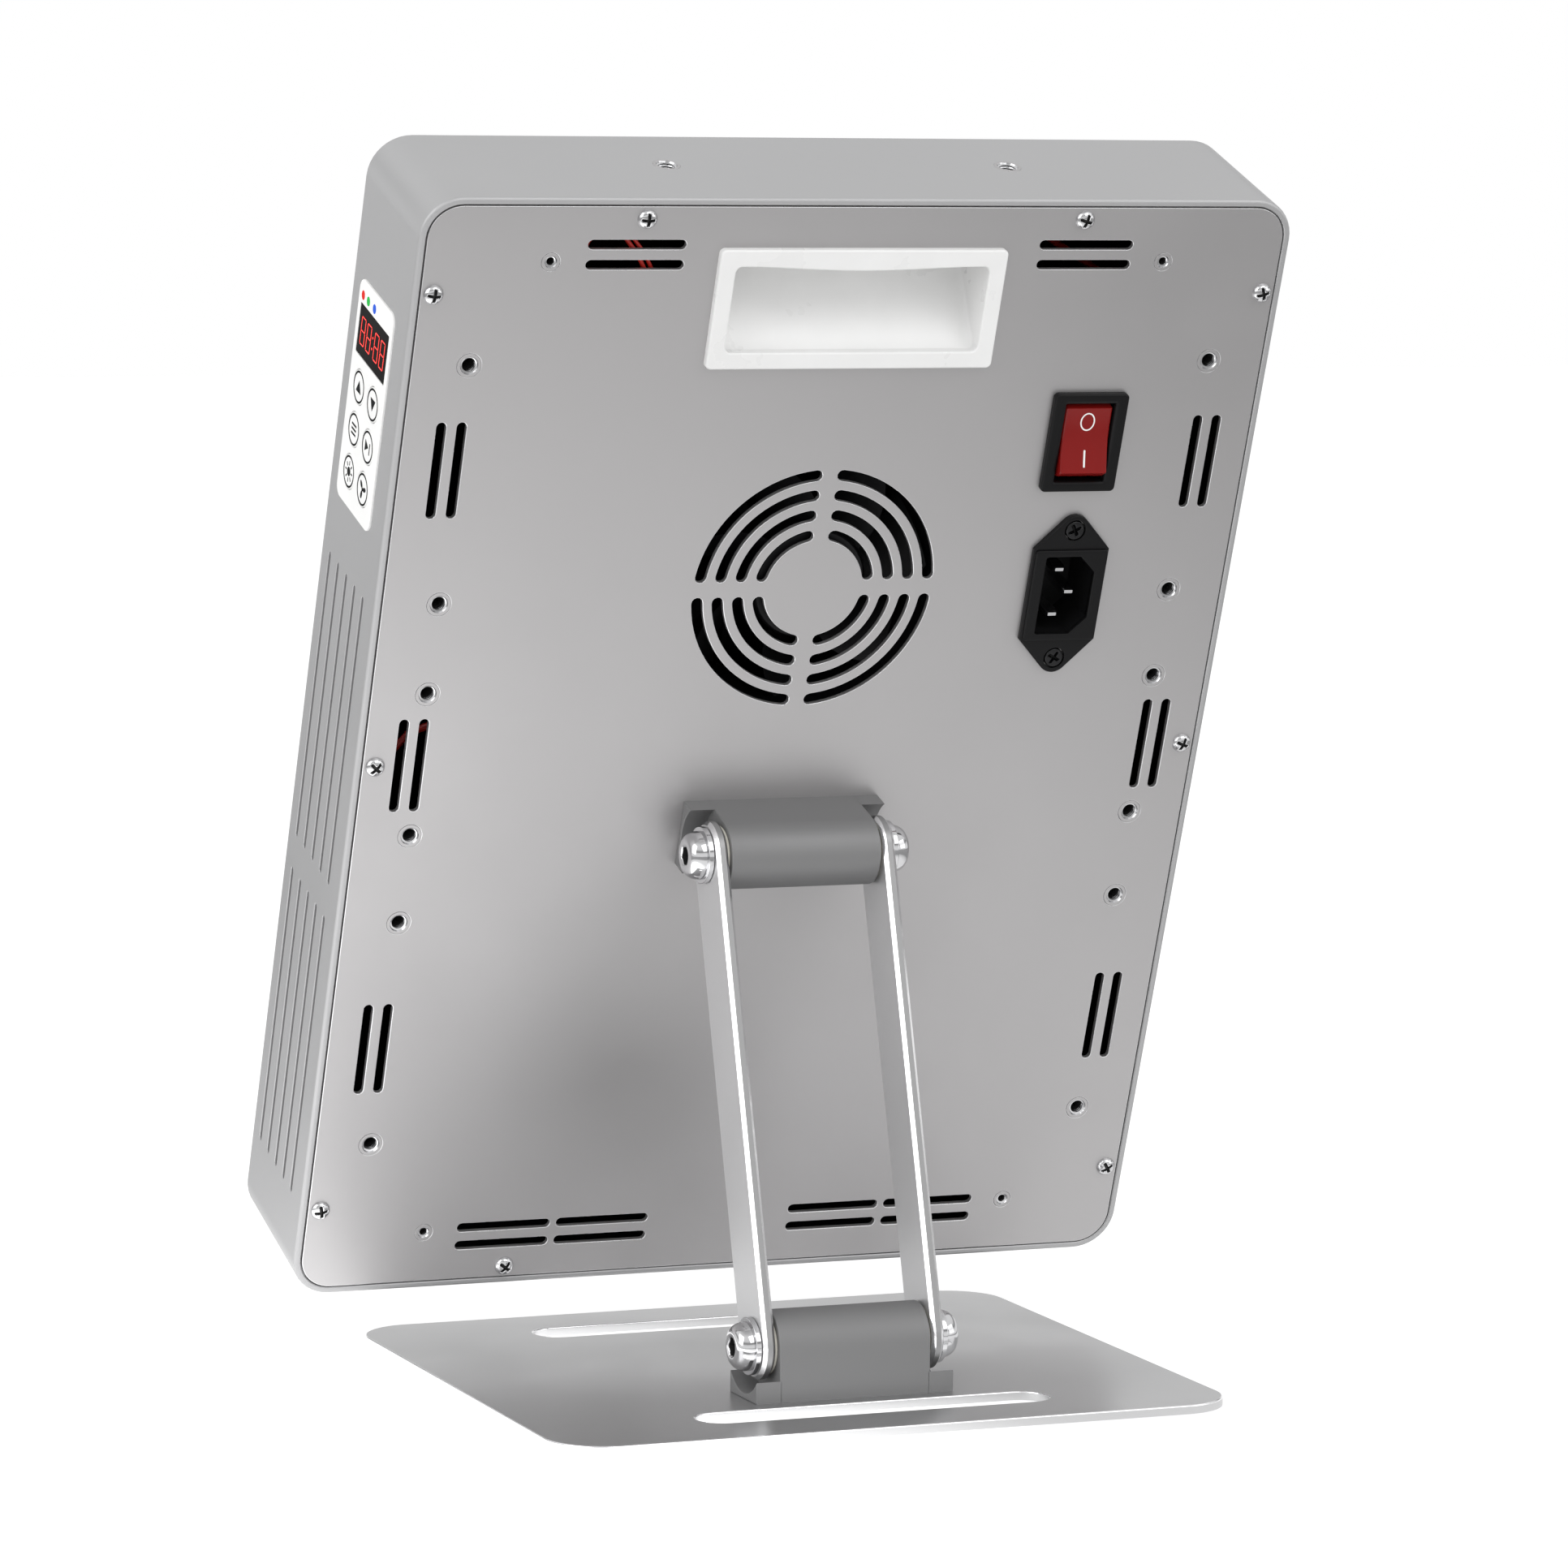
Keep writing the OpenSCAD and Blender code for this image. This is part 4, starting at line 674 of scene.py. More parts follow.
def bracket(stand):
    """Barrel with a round back between two thin feet, each scooped out for an arm's end.

    The scoop is an arc of the pocket's radius about the pivot, which leaves the height
    pivot - sqrt(pocket^2 - y^2) of the foot at y across.
    """
    radius, height = stand.bracket_r, PIVOT_HEIGHT
    back = radius * on_circle(np.radians(np.linspace(0, 180, 25))) + (0, height)
    barrel_line = np.vstack([(-radius, 0), (radius, 0), back])
    across = np.linspace(radius, -radius, 17)
    scoop = np.column_stack([across, height - np.sqrt(stand.pocket_r**2 - across**2)])
    foot_line = np.vstack([(-radius, 0), (radius, 0), scoop])
    half, end, overlap = stand.barrel / 2, stand.foot / 2, 0.5 * MM
    barrel = plate([barrel_line], round_edge(-half, half, 0.4 * MM, 3, both=True))
    edge = round_edge(half - overlap, end, 0.3 * MM, 3)
    foot = plate([foot_line], edge)
    other = plate([foot_line], [(inset, -height) for inset, height in edge[::-1]])
    return join(barrel, foot, other)


class PANEL_OT_brackets(bpy.types.Operator):
    """Brackets: satin blocks with a round back and scooped feet, on the base and on the cover"""
    bl_idname = "panel.brackets"
    bl_label = "Brackets"

    def execute(self, context):
        stand, finish = context.scene.panel_stand, context.scene.panel_finish
        for name, body, place in bracket_places():
            make(f"{name}_bracket_piece", put(bracket(stand), place), body,
                 [satin("bracket_aluminium", finish.bracket, 0.55, 0.5)], [f"{name}_bracket"])
        return {"FINISHED"}


def button_head(stand):
    """Button-head bolt: a flattened dome with a hexagon socket whose rim runs out into a circle.

    The dome is (r cos 0.72t, h sin 1.125t) for t from 0 to 80 degrees. A row of the socket lies
    between the circle and the hexagon: its radius is apothem / cos(t mod 60 - 30), mixed.
    """
    steps, shank, rim, apothem, depth = 48, 8 * MM, 3.2 * MM, 2.5 * MM, 2.4 * MM
    t, top = np.radians(np.linspace(0, 80, 11)), stand.head_h
    dome = np.column_stack([stand.head_r * np.cos(0.72 * t), top * np.sin(1.125 * t)])
    hexagon = apothem / np.cos(np.mod(full_turn(steps), math.pi / 3) - math.pi / 6)
    head = [(stand.bolt_r, -shank), (stand.bolt_r, 0), (stand.head_r - 0.3 * MM, 0), *dome,
            (rim, top), (0.4 * rim + 0.6 * hexagon, top - 0.15 * MM), (hexagon, top - 0.5 * MM)]
    socket = [head[-1], (hexagon, top - depth), (0.5 * hexagon, top - depth - 0.4 * MM)]
    # The socket takes material 1, which is kept dark as painted shade.
    return join(lathe(head, steps, first=True), lathe(socket, steps, last=True, mark=1))


def washer(inner, outer, thickness):
    """Flat ring with its rims rounded by a small radius."""
    section = box_line(outer - inner, thickness, 0.25 * MM, 3)
    return lathe(section + ((inner + outer) / 2, thickness / 2), 48, loop=True)


class PANEL_OT_pivots(bpy.types.Operator):
    """Pivots: polished button-head bolts with washers outside the arms and nylon washers inside"""
    bl_idname = "panel.pivots"
    bl_label = "Pivot Bolts"

    def execute(self, context):
        stand, finish = context.scene.panel_stand, context.scene.panel_finish
        gap, pad_t = 0.15 * MM, 0.8 * MM
        ring_x = stand.arm_x + stand.arm_t + gap
        ring = washer(stand.bolt_r, stand.washer_r, stand.washer_t)
        pad = washer(stand.bolt_r, stand.washer_r, pad_t)
        bright, nylon = steel(finish), plastic("nylon", (0.72, 0.70, 0.62), 0.45)
        kinds = (("bolts", "pivot_bolts", button_head(stand), ring_x + stand.washer_t,
                  [bright, painted_shade_steel(finish)], "polished_steel"),
                 ("washers", "washers", ring, ring_x, [bright], "polished_steel"),
                 ("pads", "friction_washers", pad, stand.barrel / 2, [nylon], "nylon"))
        for name, body, place in bracket_places():
            pivot = place[3] + PIVOT_HEIGHT * place[1]
            ends = [seat(pivot, side * place[0], place[1]) for side in (1, -1)]
            for kind, node, form, x, materials, slot in kinds:
                pair = join(*[put(at(form, 0, 0, x), end) for end in ends])
                make(f"{name}_{kind}_piece", pair, body, materials, [f"{name}_{node}"])
        return {"FINISHED"}


class PANEL_OT_arms(bpy.types.Operator):
    """Arms: two flat bars with round ends, satin faces, polished chamfers all round and edge faces
    darkened as painted shade
    """
    bl_idname = "panel.arms"
    bl_label = "Arms"

    def execute(self, context):
        stand, finish = context.scene.panel_stand, context.scene.panel_finish
        play = 0.1 * MM
        line = slot_line(ARM_LENGTH + stand.arm_w, stand.arm_w, 20, upright=True)
        bore = circle_line(stand.bolt_r + play, 40)
        holes = [bore + (0, s * ARM_LENGTH / 2) for s in (-1, 1)]
        c, t = stand.chamfer, stand.arm_t
        bar_edge = [(c, 0), (0, c), (0, t - c), (c, t)]
        bore_edge = [(0, 0), (0, c), (0, t - c), (0, t)]
        form = plate([line] + holes, bar_edge, bore_edge, bore_edge, marks=[1, 2, 1])
        rise = np.array([0, -math.sin(LEAN), math.cos(LEAN)])
        across = np.array([0, math.cos(LEAN), math.sin(LEAN)])
        middle = (LOWER_PIVOT + UPPER_PIVOT) / 2
        # The edge faces and bores take a darker copy of the arm's aluminium: painted shade.
        metals = [satin("arm_aluminium", finish.arm, 0.45, 0.8), polish_and_highlight(finish),
                  satin("arm_edge_painted_shade", darker(finish.arm, 0.5), 0.4, 0.8)]
        for name, x in (("left_arm", stand.arm_x), ("right_arm", -stand.arm_x - t)):
            place = seat(middle + (x, 0, 0), across, rise)
            make(f"{name}_piece", put(form, place), "arms", metals, [name])
        return {"FINISHED"}


# ---------------------------------------------------------------- case

def wall_section(case):
    """Section of the case wall as (distance inwards, depth), from the inside of the rim over the
    outer face to the front lip and back along the inner face with its flange."""
    lip, lip_t, flange, flange_t = 4 * MM, 1.5 * MM, 8 * MM, 2 * MM
    rim, front, lip_edge, rim_edge = 1 * MM, 1.4 * MM, 0.3 * MM, 0.25 * MM
    w, d, cover_t = case.wall, case.depth, case.cover_t
    t = np.radians(np.linspace(0, 90, 5))
    rear = np.column_stack([rim - rim * np.sin(t), rim - rim * np.cos(t)])
    face = np.column_stack([front - front * np.cos(t), d - front + front * np.sin(t)])
    inside = [(w + lip - lip_edge, d), (w + lip, d - lip_edge), (w + lip, d - lip_t),
              (w, d - lip_t), (w, cover_t + flange_t), (w + flange, cover_t + flange_t),
              (w + flange, cover_t), (w, cover_t), (w, rim_edge), (w - rim_edge, 0)]
    return np.concatenate([rear, face, inside]), len(rear) - 1, len(rear) + len(face) + 3


def pierced(outer, inner, holes, wall, rim):
    """A wall between an outer and an inner rectangle, with holes whose outer rims are rounded.

    A rectangle is (low, high) for each of the two axes. The outer face is at 0, the inner one at
    -wall, and neither has a side, because the swept wall meets them there.
    """
    def frame_line(box):
        (a0, a1), (b0, b1) = box
        return np.array([(a0, b0), (a1, b0), (a1, b1), (a0, b1)])
    parts, low, high = [], [frame_line(inner)], [frame_line(outer)]
    for hole in holes:
        rows = edge_rows(turned(hole, False), round_edge(-wall, 0, rim, 3))
        parts.append(skin(rows))
        low.append(rows[0][:, :2])
        high.append(rows[-1][:, :2])
    return join(lid(low, -wall, up=False), lid(high, 0), *parts)


VENT_DEPTH = 1.3 * MM              # of the middle vent beyond the middle of the side wall
VENT_V = (3 * MM, -96 * MM)        # heights of the two rows of side vents
HANGER_X = 51.4 * MM               # of a hanger hole from the middle of the top
HANGER_DEPTH = 25.9 * MM           # of the hanger holes from the rear


def case_wall(case):
    """The wall section swept round the case, with side vents and hanger holes cut through.

    Every section point (i, depth) is a row: the case's outline drawn in by i, at that depth.
    The flat runs of both sides and of the top are left out and filled by pierced faces.
    """
    section, outer_row, inner_row = wall_section(case)
    section, steps = section[::-1], 10
    outer_row, inner_row = len(section) - 2 - outer_row, len(section) - 2 - inner_row
    rows = [level(box_line(case.width, case.height, case.corner, steps, inset=inset), -depth)
            for inset, depth in section]
    runs = [(steps + 1) * (n + 1) - 1 for n in range(3)]
    gone = [(row, run) for run in runs for row in (outer_row, inner_row)]
    body = put(skin(rows, loop=True, leave_out=gone), rear_place())

    depth_of = [section[outer_row:outer_row + 2, 1], section[inner_row:inner_row + 2, 1]]
    outer_d, inner_d = [(float(d.min()), float(d.max())) for d in depth_of]
    tall, wide = case.height / 2 - case.corner, case.width / 2 - case.corner
    vent = slot_line(case.vent_l, case.vent_w, 6, upright=True)
    middle = case.depth / 2 + VENT_DEPTH
    spots = [(middle + (n - 2) * case.vent_pitch, v) for n in range(5) for v in VENT_V]
    near_vents = [vent + (-d, v) for d, v in spots]
    far_vents = [vent + (d, v) for d, v in spots]
    hangers = [circle_line(3.9 * MM, 36) + (x, -HANGER_DEPTH) for x in (-HANGER_X, HANGER_X)]

    def backwards(span):
        return -span[1], -span[0]
    rim = 0.3 * MM
    near = pierced((backwards(outer_d), (-tall, tall)), (backwards(inner_d), (-tall, tall)),
                   near_vents, case.wall, rim)
    far = pierced((outer_d, (-tall, tall)), (inner_d, (-tall, tall)), far_vents, case.wall, rim)
    top = pierced(((-wide, wide), backwards(outer_d)), ((-wide, wide), backwards(inner_d)),
                  hangers, case.wall, 0.1 * MM)
    whole = join(body, put(near, key_side(case, 0, 0)), put(far, far_side(case, 0, 0)),
                 put(top, top_side(case, 0, 0)))

    def inside(middle):
        """Whether a spot is on the inner faces: within the wall and between cover and lip."""
        away = middle - COVER_MIDDLE
        depth, r, near_it = -away @ OUTWARD, case.corner, 0.1 * MM
        across = np.maximum(np.abs(away[:, 0]) - case.width / 2 + r, 0)
        along = np.maximum(np.abs(away @ UPWARD) - case.height / 2 + r, 0)
        return ((np.hypot(across, along) < r - case.wall + near_it)
                & (depth > case.cover_t + near_it) & (depth < case.depth - 1 * MM))
    # The inner faces take material 1, a near-black painted shade inside the case.
    return marked(whole, inside, 1)


class PANEL_OT_case(bpy.types.Operator):
    """Case: one swept aluminium wall with a round rim, a front lip, side vents and hanger holes"""
    bl_idname = "panel.case"
    bl_label = "Case"

    def execute(self, context):
        case, finish = context.scene.panel_case, context.scene.panel_finish
        # Near-black painted shade for the case's inner faces
        case_inside_shade = surface("case_inside_shade", (0.012, 0.012, 0.013), roughness=0.6, grain=0.4 * MM,
                         relief=0.01 * MM, Specular_IOR_Level=0.1)
        make("case_wall_piece", case_wall(case), "head", [case_metal(finish), case_inside_shade],
             ["case_shell", "case_top"])
        return {"FINISHED"}


def cooling_slots(case):
    """Pairs of slots: three pairs down each side, one near each top corner, four at the bottom."""
    half = case.slot_pitch / 2
    lying = slot_line(case.slot_l, case.slot_w, 8)
    standing = slot_line(case.slot_l, case.slot_w, 8, upright=True)
    side_u, end_u, inner_u, side_v, end_v = 114.2 * MM, 67.2 * MM, 36.6 * MM, 89.6 * MM, 153 * MM
    slots = []
    for step in (-half, half):
        for sign in (-1, 1):
            slots += [standing + (sign * side_u + step, v) for v in (-side_v, 0, side_v)]
            slots += [lying + (sign * end_u, v + step) for v in (-end_v, end_v)]
            slots.append(lying + (sign * inner_u, -end_v + step))
    return slots


def grille_slots(case):
    """Four rings of arc slots about the fan, each crossed by four webs.

    The end circles of a slot sit where half a web and half a slot fit beside the axis:
    at the angle asin((web + slot) / 2 / radius).
    """
    slots = []
    for ring in range(4):
        middle = case.grille_r - case.grille_slot / 2 - ring * case.grille_pitch
        end = math.asin((case.grille_web + case.grille_slot) / 2 / middle)
        for quarter in range(4):
            start = quarter * math.pi / 2
            slots.append(arc_slot_line(middle, case.grille_slot, start + end,
                                       start + math.pi / 2 - end, 18) + (0, case.grille_v))
    return slots


def mirrored_spots(u, *heights):
    """The spots at u to each side of the middle and at each height above and below it."""
    return [(s * u * MM, t * v * MM) for s in (-1, 1) for v in heights for t in (-1, 1)]


# Places of the twelve wide and the four small threaded inserts on the cover
WIDE_INSERTS = mirrored_spots(111.4, 120.7, 49.4, 22)
SMALL_INSERTS = mirrored_spots(91.7, 150.9)
SWITCH_UV = np.array([76.2, 96.4]) * MM     # middle of the switch on the cover
INLET_UV = np.array([77.8, 49.2]) * MM      # middle of the power inlet on the cover
INLET_SCREW_V = 20 * MM                     # of an inlet screw from the inlet's middle
BLADE_SPOTS = np.array([(-2, -7), (2, 0), (-2, 7)]) * MM


class PANEL_OT_cover(bpy.types.Operator):
    """Rear cover: a satin sheet with cooling slots, a ringed fan grille and openings, and thin rims
    round every cut brightened as painted highlight"""
    bl_idname = "panel.cover"
    bl_label = "Rear Cover"

    def execute(self, context):
        case, fit = context.scene.panel_case, context.scene.panel_fittings
        finish = context.scene.panel_finish
        outline = box_line(case.width, case.height, case.corner, 12,
                           inset=case.wall + case.cover_gap)
        handle_lap, bezel_lap = 3.1 * MM, 0.9 * MM
        holes = cooling_slots(case) + grille_slots(case)
        holes += [circle_line(3.52 * MM, 32) + spot for spot in WIDE_INSERTS]
        holes += [circle_line(2.67 * MM, 28) + spot for spot in SMALL_INSERTS]
        holes += [box_line(fit.handle_w, fit.handle_h, inset=handle_lap) + (0, fit.handle_v),
                  box_line(fit.bezel_w, fit.bezel_h, inset=bezel_lap) + SWITCH_UV,
                  box_line(19 * MM, 27.6 * MM) + INLET_UV]
        form = plate([outline] + holes, round_edge(-case.cover_t, 0, 0.22 * MM, 3),
                     marks=[0, 1, 1, 1])
        # The rounded rims of the cuts take a brighter metal: painted highlight.
        cut = polished("cut_rim_highlight", darker(finish.bright, 0.72), 0.28)
        make("rear_cover_piece", put(form, rear_place()), "head", [cover_metal(finish), cut],
             ["rear_cover"])
        return {"FINISHED"}


def cross_screw(radius, height, recess=0.42, flat=0.0, shank=0.0):
    """Screw head as rows of growing height: a dome h (1 - (r / R)^2.6)^0.6 with a cross recess.

    The recess has two bars of half width 0.13 R and reach 0.62 R. Its depth falls off smoothly
    at the bars' sides and ends, so it is a product of two soft steps.
    """
    def cross(x, y):
        """Share of the recess's depth at a spot: 1 in the bars and 0 outside them."""
        beside = np.minimum(np.abs(x), np.abs(y)) / (0.13 * radius)
        along = np.maximum(np.abs(x), np.abs(y)) / (0.62 * radius)
        return 1 / (1 + np.exp(9 * (beside - 1))) / (1 + np.exp(16 * (along - 1)))
    rim = circle_line(radius, 64)
    rows = [level(rim, -shank)]
    for share in np.linspace(1, 0.03, 26):
        line = share * rim
        dome = height * ((1 - flat) * (1 - share**2.6) ** 0.6 + flat * min(1.0, 12 * (1 - share)))
        rows.append(level(line, dome - recess * radius * cross(*line.T)))
    head = skin(rows, first=True, last=True)
    # The recess faces take material 1, which the callers keep dark as painted shade.
    return marked(head, lambda middle: cross(middle[:, 0], middle[:, 1]) > 0.3, 1)


class PANEL_OT_cover_screws(bpy.types.Operator):
    """Cover screws: ten pan heads with a cross recess along the edge of the cover"""
    bl_idname = "panel.cover_screws"
    bl_label = "Cover Screws"

    def execute(self, context):
        case, finish = context.scene.panel_case, context.scene.panel_finish
        from_side, high_v, end_u = case.wall + 4 * MM, 141.5 * MM, 65.4 * MM
        edge_u, edge_v = case.width / 2 - from_side, case.height / 2 - from_side
        spots = [(s * edge_u, v) for s in (-1, 1) for v in (-high_v, 0, high_v)]
        spots += [(s * end_u, t * edge_v) for s in (-1, 1) for t in (-1, 1)]
        head = cross_screw(2.9 * MM, 1.9 * MM, shank=0.2 * MM)
        driven = [at(spun(head, math.radians(37 * n + 11)), *spot, 0)
                  for n, spot in enumerate(spots)]
        make("cover_screws_piece", put(join(*driven), rear_place()), "head",
             [steel(finish), painted_shade_steel(finish)], ["cover_screws"], smooth=60)
        return {"FINISHED"}


def threaded_insert(bore, size, stand_out=0.02 * MM):
    """Ring with a rounded rim and a helical thread down its bore.

    The bore's radius is bore - pitch / 8 (1 + cos(2 pi z / pitch - t)), so the ridge winds on
    with the angle t.
    """
    steps, outer, pitch, edge, sink = 32, bore + 1.4 * MM, 0.8 * MM, 0.06 * MM, 0.55 * MM
    turn = full_turn(steps)
    collar = [(outer, -size), (outer, stand_out - edge), (outer - edge, stand_out),
              (bore + sink, stand_out)]
    chamfer = [collar[-1], (bore + 0.9 * sink, stand_out - 0.1 * MM),
               (bore + 0.5 * sink, stand_out - 0.8 * sink)]
    ridge = [(bore - pitch / 8 * (1 + np.cos(2 * math.pi * z / pitch - turn)), stand_out - z)
             for z in np.arange(sink, size, pitch / 6)]
    # Below a depth of one bore radius the thread takes material 2, kept dark as painted shade in
    # the wide and small inserts.
    thread = marked(lathe([chamfer[-1], *ridge, (bore, -size)], steps),
                    lambda middle: middle[:, 2] < stand_out - bore, 2)
    return join(lathe(collar, steps, mark=1), lathe(chamfer, steps), thread,
                lathe([(bore, -size), (outer, -size)], steps))


class PANEL_OT_inserts(bpy.types.Operator):
    """Inserts: threaded steel bushes in the cover and in the top of the case"""
    bl_idname = "panel.inserts"
    bl_label = "Threaded Inserts"

    def execute(self, context):
        case, finish = context.scene.panel_case, context.scene.panel_finish
        bush = [polished("insert_steel", finish.steel, 0.2), cover_metal(finish),
                painted_shade_steel(finish)]
        bright_bush = bush[:2] + bush[:1]
        hangers = [(-HANGER_X, 0), (HANGER_X, 0)]
        for name, form, spots, place, materials in (
                ("rear", threaded_insert(2.1 * MM, 9 * MM), WIDE_INSERTS, rear_place(), bush),
                ("small", threaded_insert(1.25 * MM, 6.75 * MM), SMALL_INSERTS, rear_place(), bush),
                ("hanger", threaded_insert(2.5 * MM, 11 * MM, 0.05 * MM), hangers,
                 top_side(case, 0, HANGER_DEPTH), bright_bush)):
            make(f"{name}_inserts_piece", put(repeat(form, spots), place), "head", materials,
                 [f"{name}_inserts"])
        return {"FINISHED"}


# ---------------------------------------------------------------- fittings

def handle_form(fit):
    """The handle as nested rows, from the foot of its frame over the rim down to the floor.

    The upper edge of the mouth bows down by bow cos^2(pi u / 2 w) in its middle. With x the
    share of the way up to the deep end, the depth is shallow + (deep - shallow) m(x), where
    m(x) = (x + 1 - sqrt((x - 1)^2 + s^2)) / 2 is a soft minimum of x and 1.
    """
    w, h, rise, deep = fit.handle_w, fit.handle_h, fit.handle_rise, fit.handle_depth
    border, edge, fillet, corner, foot = 5 * MM, 0.6 * MM, 2 * MM, 2 * MM, -0.05 * MM
    bow, shallow, deep_end, soft = 1.2 * MM, 1.2 * MM, 7 * MM, 0.25
    half_w, half_h = w / 2 - border, h / 2 - border

    def mouth(inset):
        line = box_line(2 * (half_w - inset), 2 * (half_h - inset),
                        max(corner - inset, 0.3 * MM), 6, 12)
        lift = np.clip(line[:, 1] / half_h, 0, 1) ** 2
        line[:, 1] -= bow * lift * np.cos(math.pi * line[:, 0] / (2 * half_w)) ** 2
        return line

    def depth(line):
        x = (line[:, 1] + half_h) / (2 * half_h - deep_end)
        return shallow + (deep - shallow) * (x + 1 - np.sqrt((x - 1) ** 2 + soft**2)) / 2

    rows = [level(box_line(w, h, 1.6 * MM, 6, 12, inset), height)
            for inset, height in round_edge(foot, rise, edge, 4)]
    quarter = np.radians(np.linspace(0, 90, 5))
    rows += [level(mouth(-edge * (1 - math.sin(t))), rise - edge * (1 - math.cos(t)))
             for t in quarter]
    for t in quarter:
        line = mouth(fillet * (1 - math.cos(t)))
        bend = np.minimum(fillet, 0.6 * depth(line))
        rows.append(level(line, -depth(line) + bend * (1 - math.sin(t))))
    inner = mouth(fillet)
    for share in np.linspace(0.9, 0.03, 12):
        rows.append(level(share * inner, -depth(share * inner)))
    return skin(rows, last=True)


class PANEL_OT_handle(bpy.types.Operator):
    """Handle: a white frame with a soft rim round a finger recess that is deepest at its top"""
    bl_idname = "panel.handle"
    bl_label = "Handle"

    def execute(self, context):
        fit, finish = context.scene.panel_fittings, context.scene.panel_finish
        form = put(handle_form(fit), rear_place(0, fit.handle_v))
        make("handle_piece", form, "head", [plastic("white_plastic", finish.white, 0.3)],
             ["handle_cup"], smooth=50)
        return {"FINISHED"}


def rocker_face(b, radius):
    """Height of the rocker's face over its pin at b along it: 5.4 mm + 1.6 mm |b / r|^1.6."""
    return 5.4 * MM + 1.6 * MM * np.abs(b / radius) ** 1.6


def rocker_form(fit):
    """The rocker's outline, a hollow face between two arcs about the pin, over its width."""
    r = fit.rocker_r
    span = np.linspace(0.815 * r, -0.815 * r, 25)
    face = np.column_stack([span, rocker_face(span, r)])
    start = math.atan2(face[-1, 1], face[-1, 0])
    left = r * on_circle(np.linspace(start, math.radians(178), 6)[1:])
    under = np.array([(-4, -6), (4, -6)]) * MM
    line = np.vstack([face, left, under, left[::-1] * (-1, 1)])
    half, edge = fit.rocker_w / 2, 0.7 * MM
    return plate([line], round_edge(-half, half, edge, 4, both=True))


def rocker_marks(fit):
    """The marks on the rocker's face: a ring at the upper end and a bar at the lower."""
    lift, middle, t = 0.06 * MM, 5.4 * MM, full_turn(48)
    inner, outer = np.array([1.85, 2.3]) * MM, np.array([2.25, 2.7]) * MM

    def band(inside, outside):
        """A closed ribbon between two lines of (u, b), laid on the face and raised a little."""
        rows = []
        for line, height in ((outside, -lift), (outside, lift), (inside, lift), (inside, -lift)):
            face = rocker_face(line[:, 1], fit.rocker_r) + height
            rows.append(np.column_stack([line[:, 1], face, -line[:, 0]]))
        return skin(rows, loop=True)
    ring = [on_circle(t) * size + (0, middle) for size in (inner, outer)]
    bar = np.column_stack([np.clip(np.cos(t) * 3, -1, 1) * 0.28 * MM,
                           2.5 * MM * np.sin(t) - middle])
    return join(band(*ring), band(bar * (0.05, 1), bar))


class PANEL_OT_power_switch(bpy.types.Operator):
    """Power switch: a black bezel round a hollow red rocker that stands in its O position"""
    bl_idname = "panel.power_switch"
    bl_label = "Power Switch"

    def execute(self, context):
        fit, finish = context.scene.panel_fittings, context.scene.panel_finish
        edge, gap, foot, floor, well_r = 0.6 * MM, 0.35 * MM, -0.05 * MM, -11 * MM, 0.3 * MM
        well_w, well_h = fit.rocker_w + 2 * gap, 2 * fit.rocker_r + 2 * gap
        rows = [level(box_line(fit.bezel_w, fit.bezel_h, 1.4 * MM, 5, inset=inset), height)
                for inset, height in round_edge(foot, fit.bezel_t, edge, 4)]
        for t in np.radians(np.linspace(0, 90, 5)):
            grow, drop = 1.1 * MM * (1 - math.sin(t)), 0.9 * MM * (1 - math.cos(t))
            rows.append(level(box_line(well_w, well_h, well_r, 5, inset=-grow),
                              fit.bezel_t - drop))
        rows.append(level(box_line(well_w, well_h, well_r, 5), floor))
        place = rear_place(*SWITCH_UV)
        make("switch_bezel_piece", put(skin(rows, last=True), place), "head",
             [black_plastic(finish)], ["switch_body"])

        angle, pin_depth = math.radians(9), 4 * MM
        pin = place[3] - pin_depth * OUTWARD
        along = math.cos(angle) * UPWARD - math.sin(angle) * OUTWARD
        out = math.cos(angle) * OUTWARD + math.sin(angle) * UPWARD
        tilted = seat(pin, along, out)
        red = see_through("red_rocker", finish.rocker, 0.12, 1.45, 0.2, Specular_IOR_Level=0.35)
        make("rocker_piece", put(rocker_form(fit), tilted), "rocker", [red], ["switch_rocker"])
        make("rocker_marks_piece", put(rocker_marks(fit), tilted), "rocker",
             [printing("white_ink", (0.85, 0.85, 0.84))])
        return {"FINISHED"}


def inlet_line(fit):
    """Flange of the inlet: straight sides that run in to a round tip about each screw."""
    w, side, tip = fit.inlet_w / 2, fit.inlet_side / 2, 4.6 * MM
    top = tip * on_circle(np.radians(np.linspace(40, 140, 13))) + (0, INLET_SCREW_V)
    upper = np.vstack([(w, side), top, (-w, side)])
    return np.vstack([upper, -upper])


def socket_line(grow=0.0):
    """Mouth of the inlet: a rectangle with two slanted corners on its right side."""
    w, h, c = 7.8 * MM + grow, 12.1 * MM + grow, 5 * MM
    line = np.array([(-w, -h), (w - c, -h), (w, c - h), (w, h - c), (w - c, h), (-w, h)])
    return bent(line, [0.8 * MM + max(grow, 0)] * 6, 3)


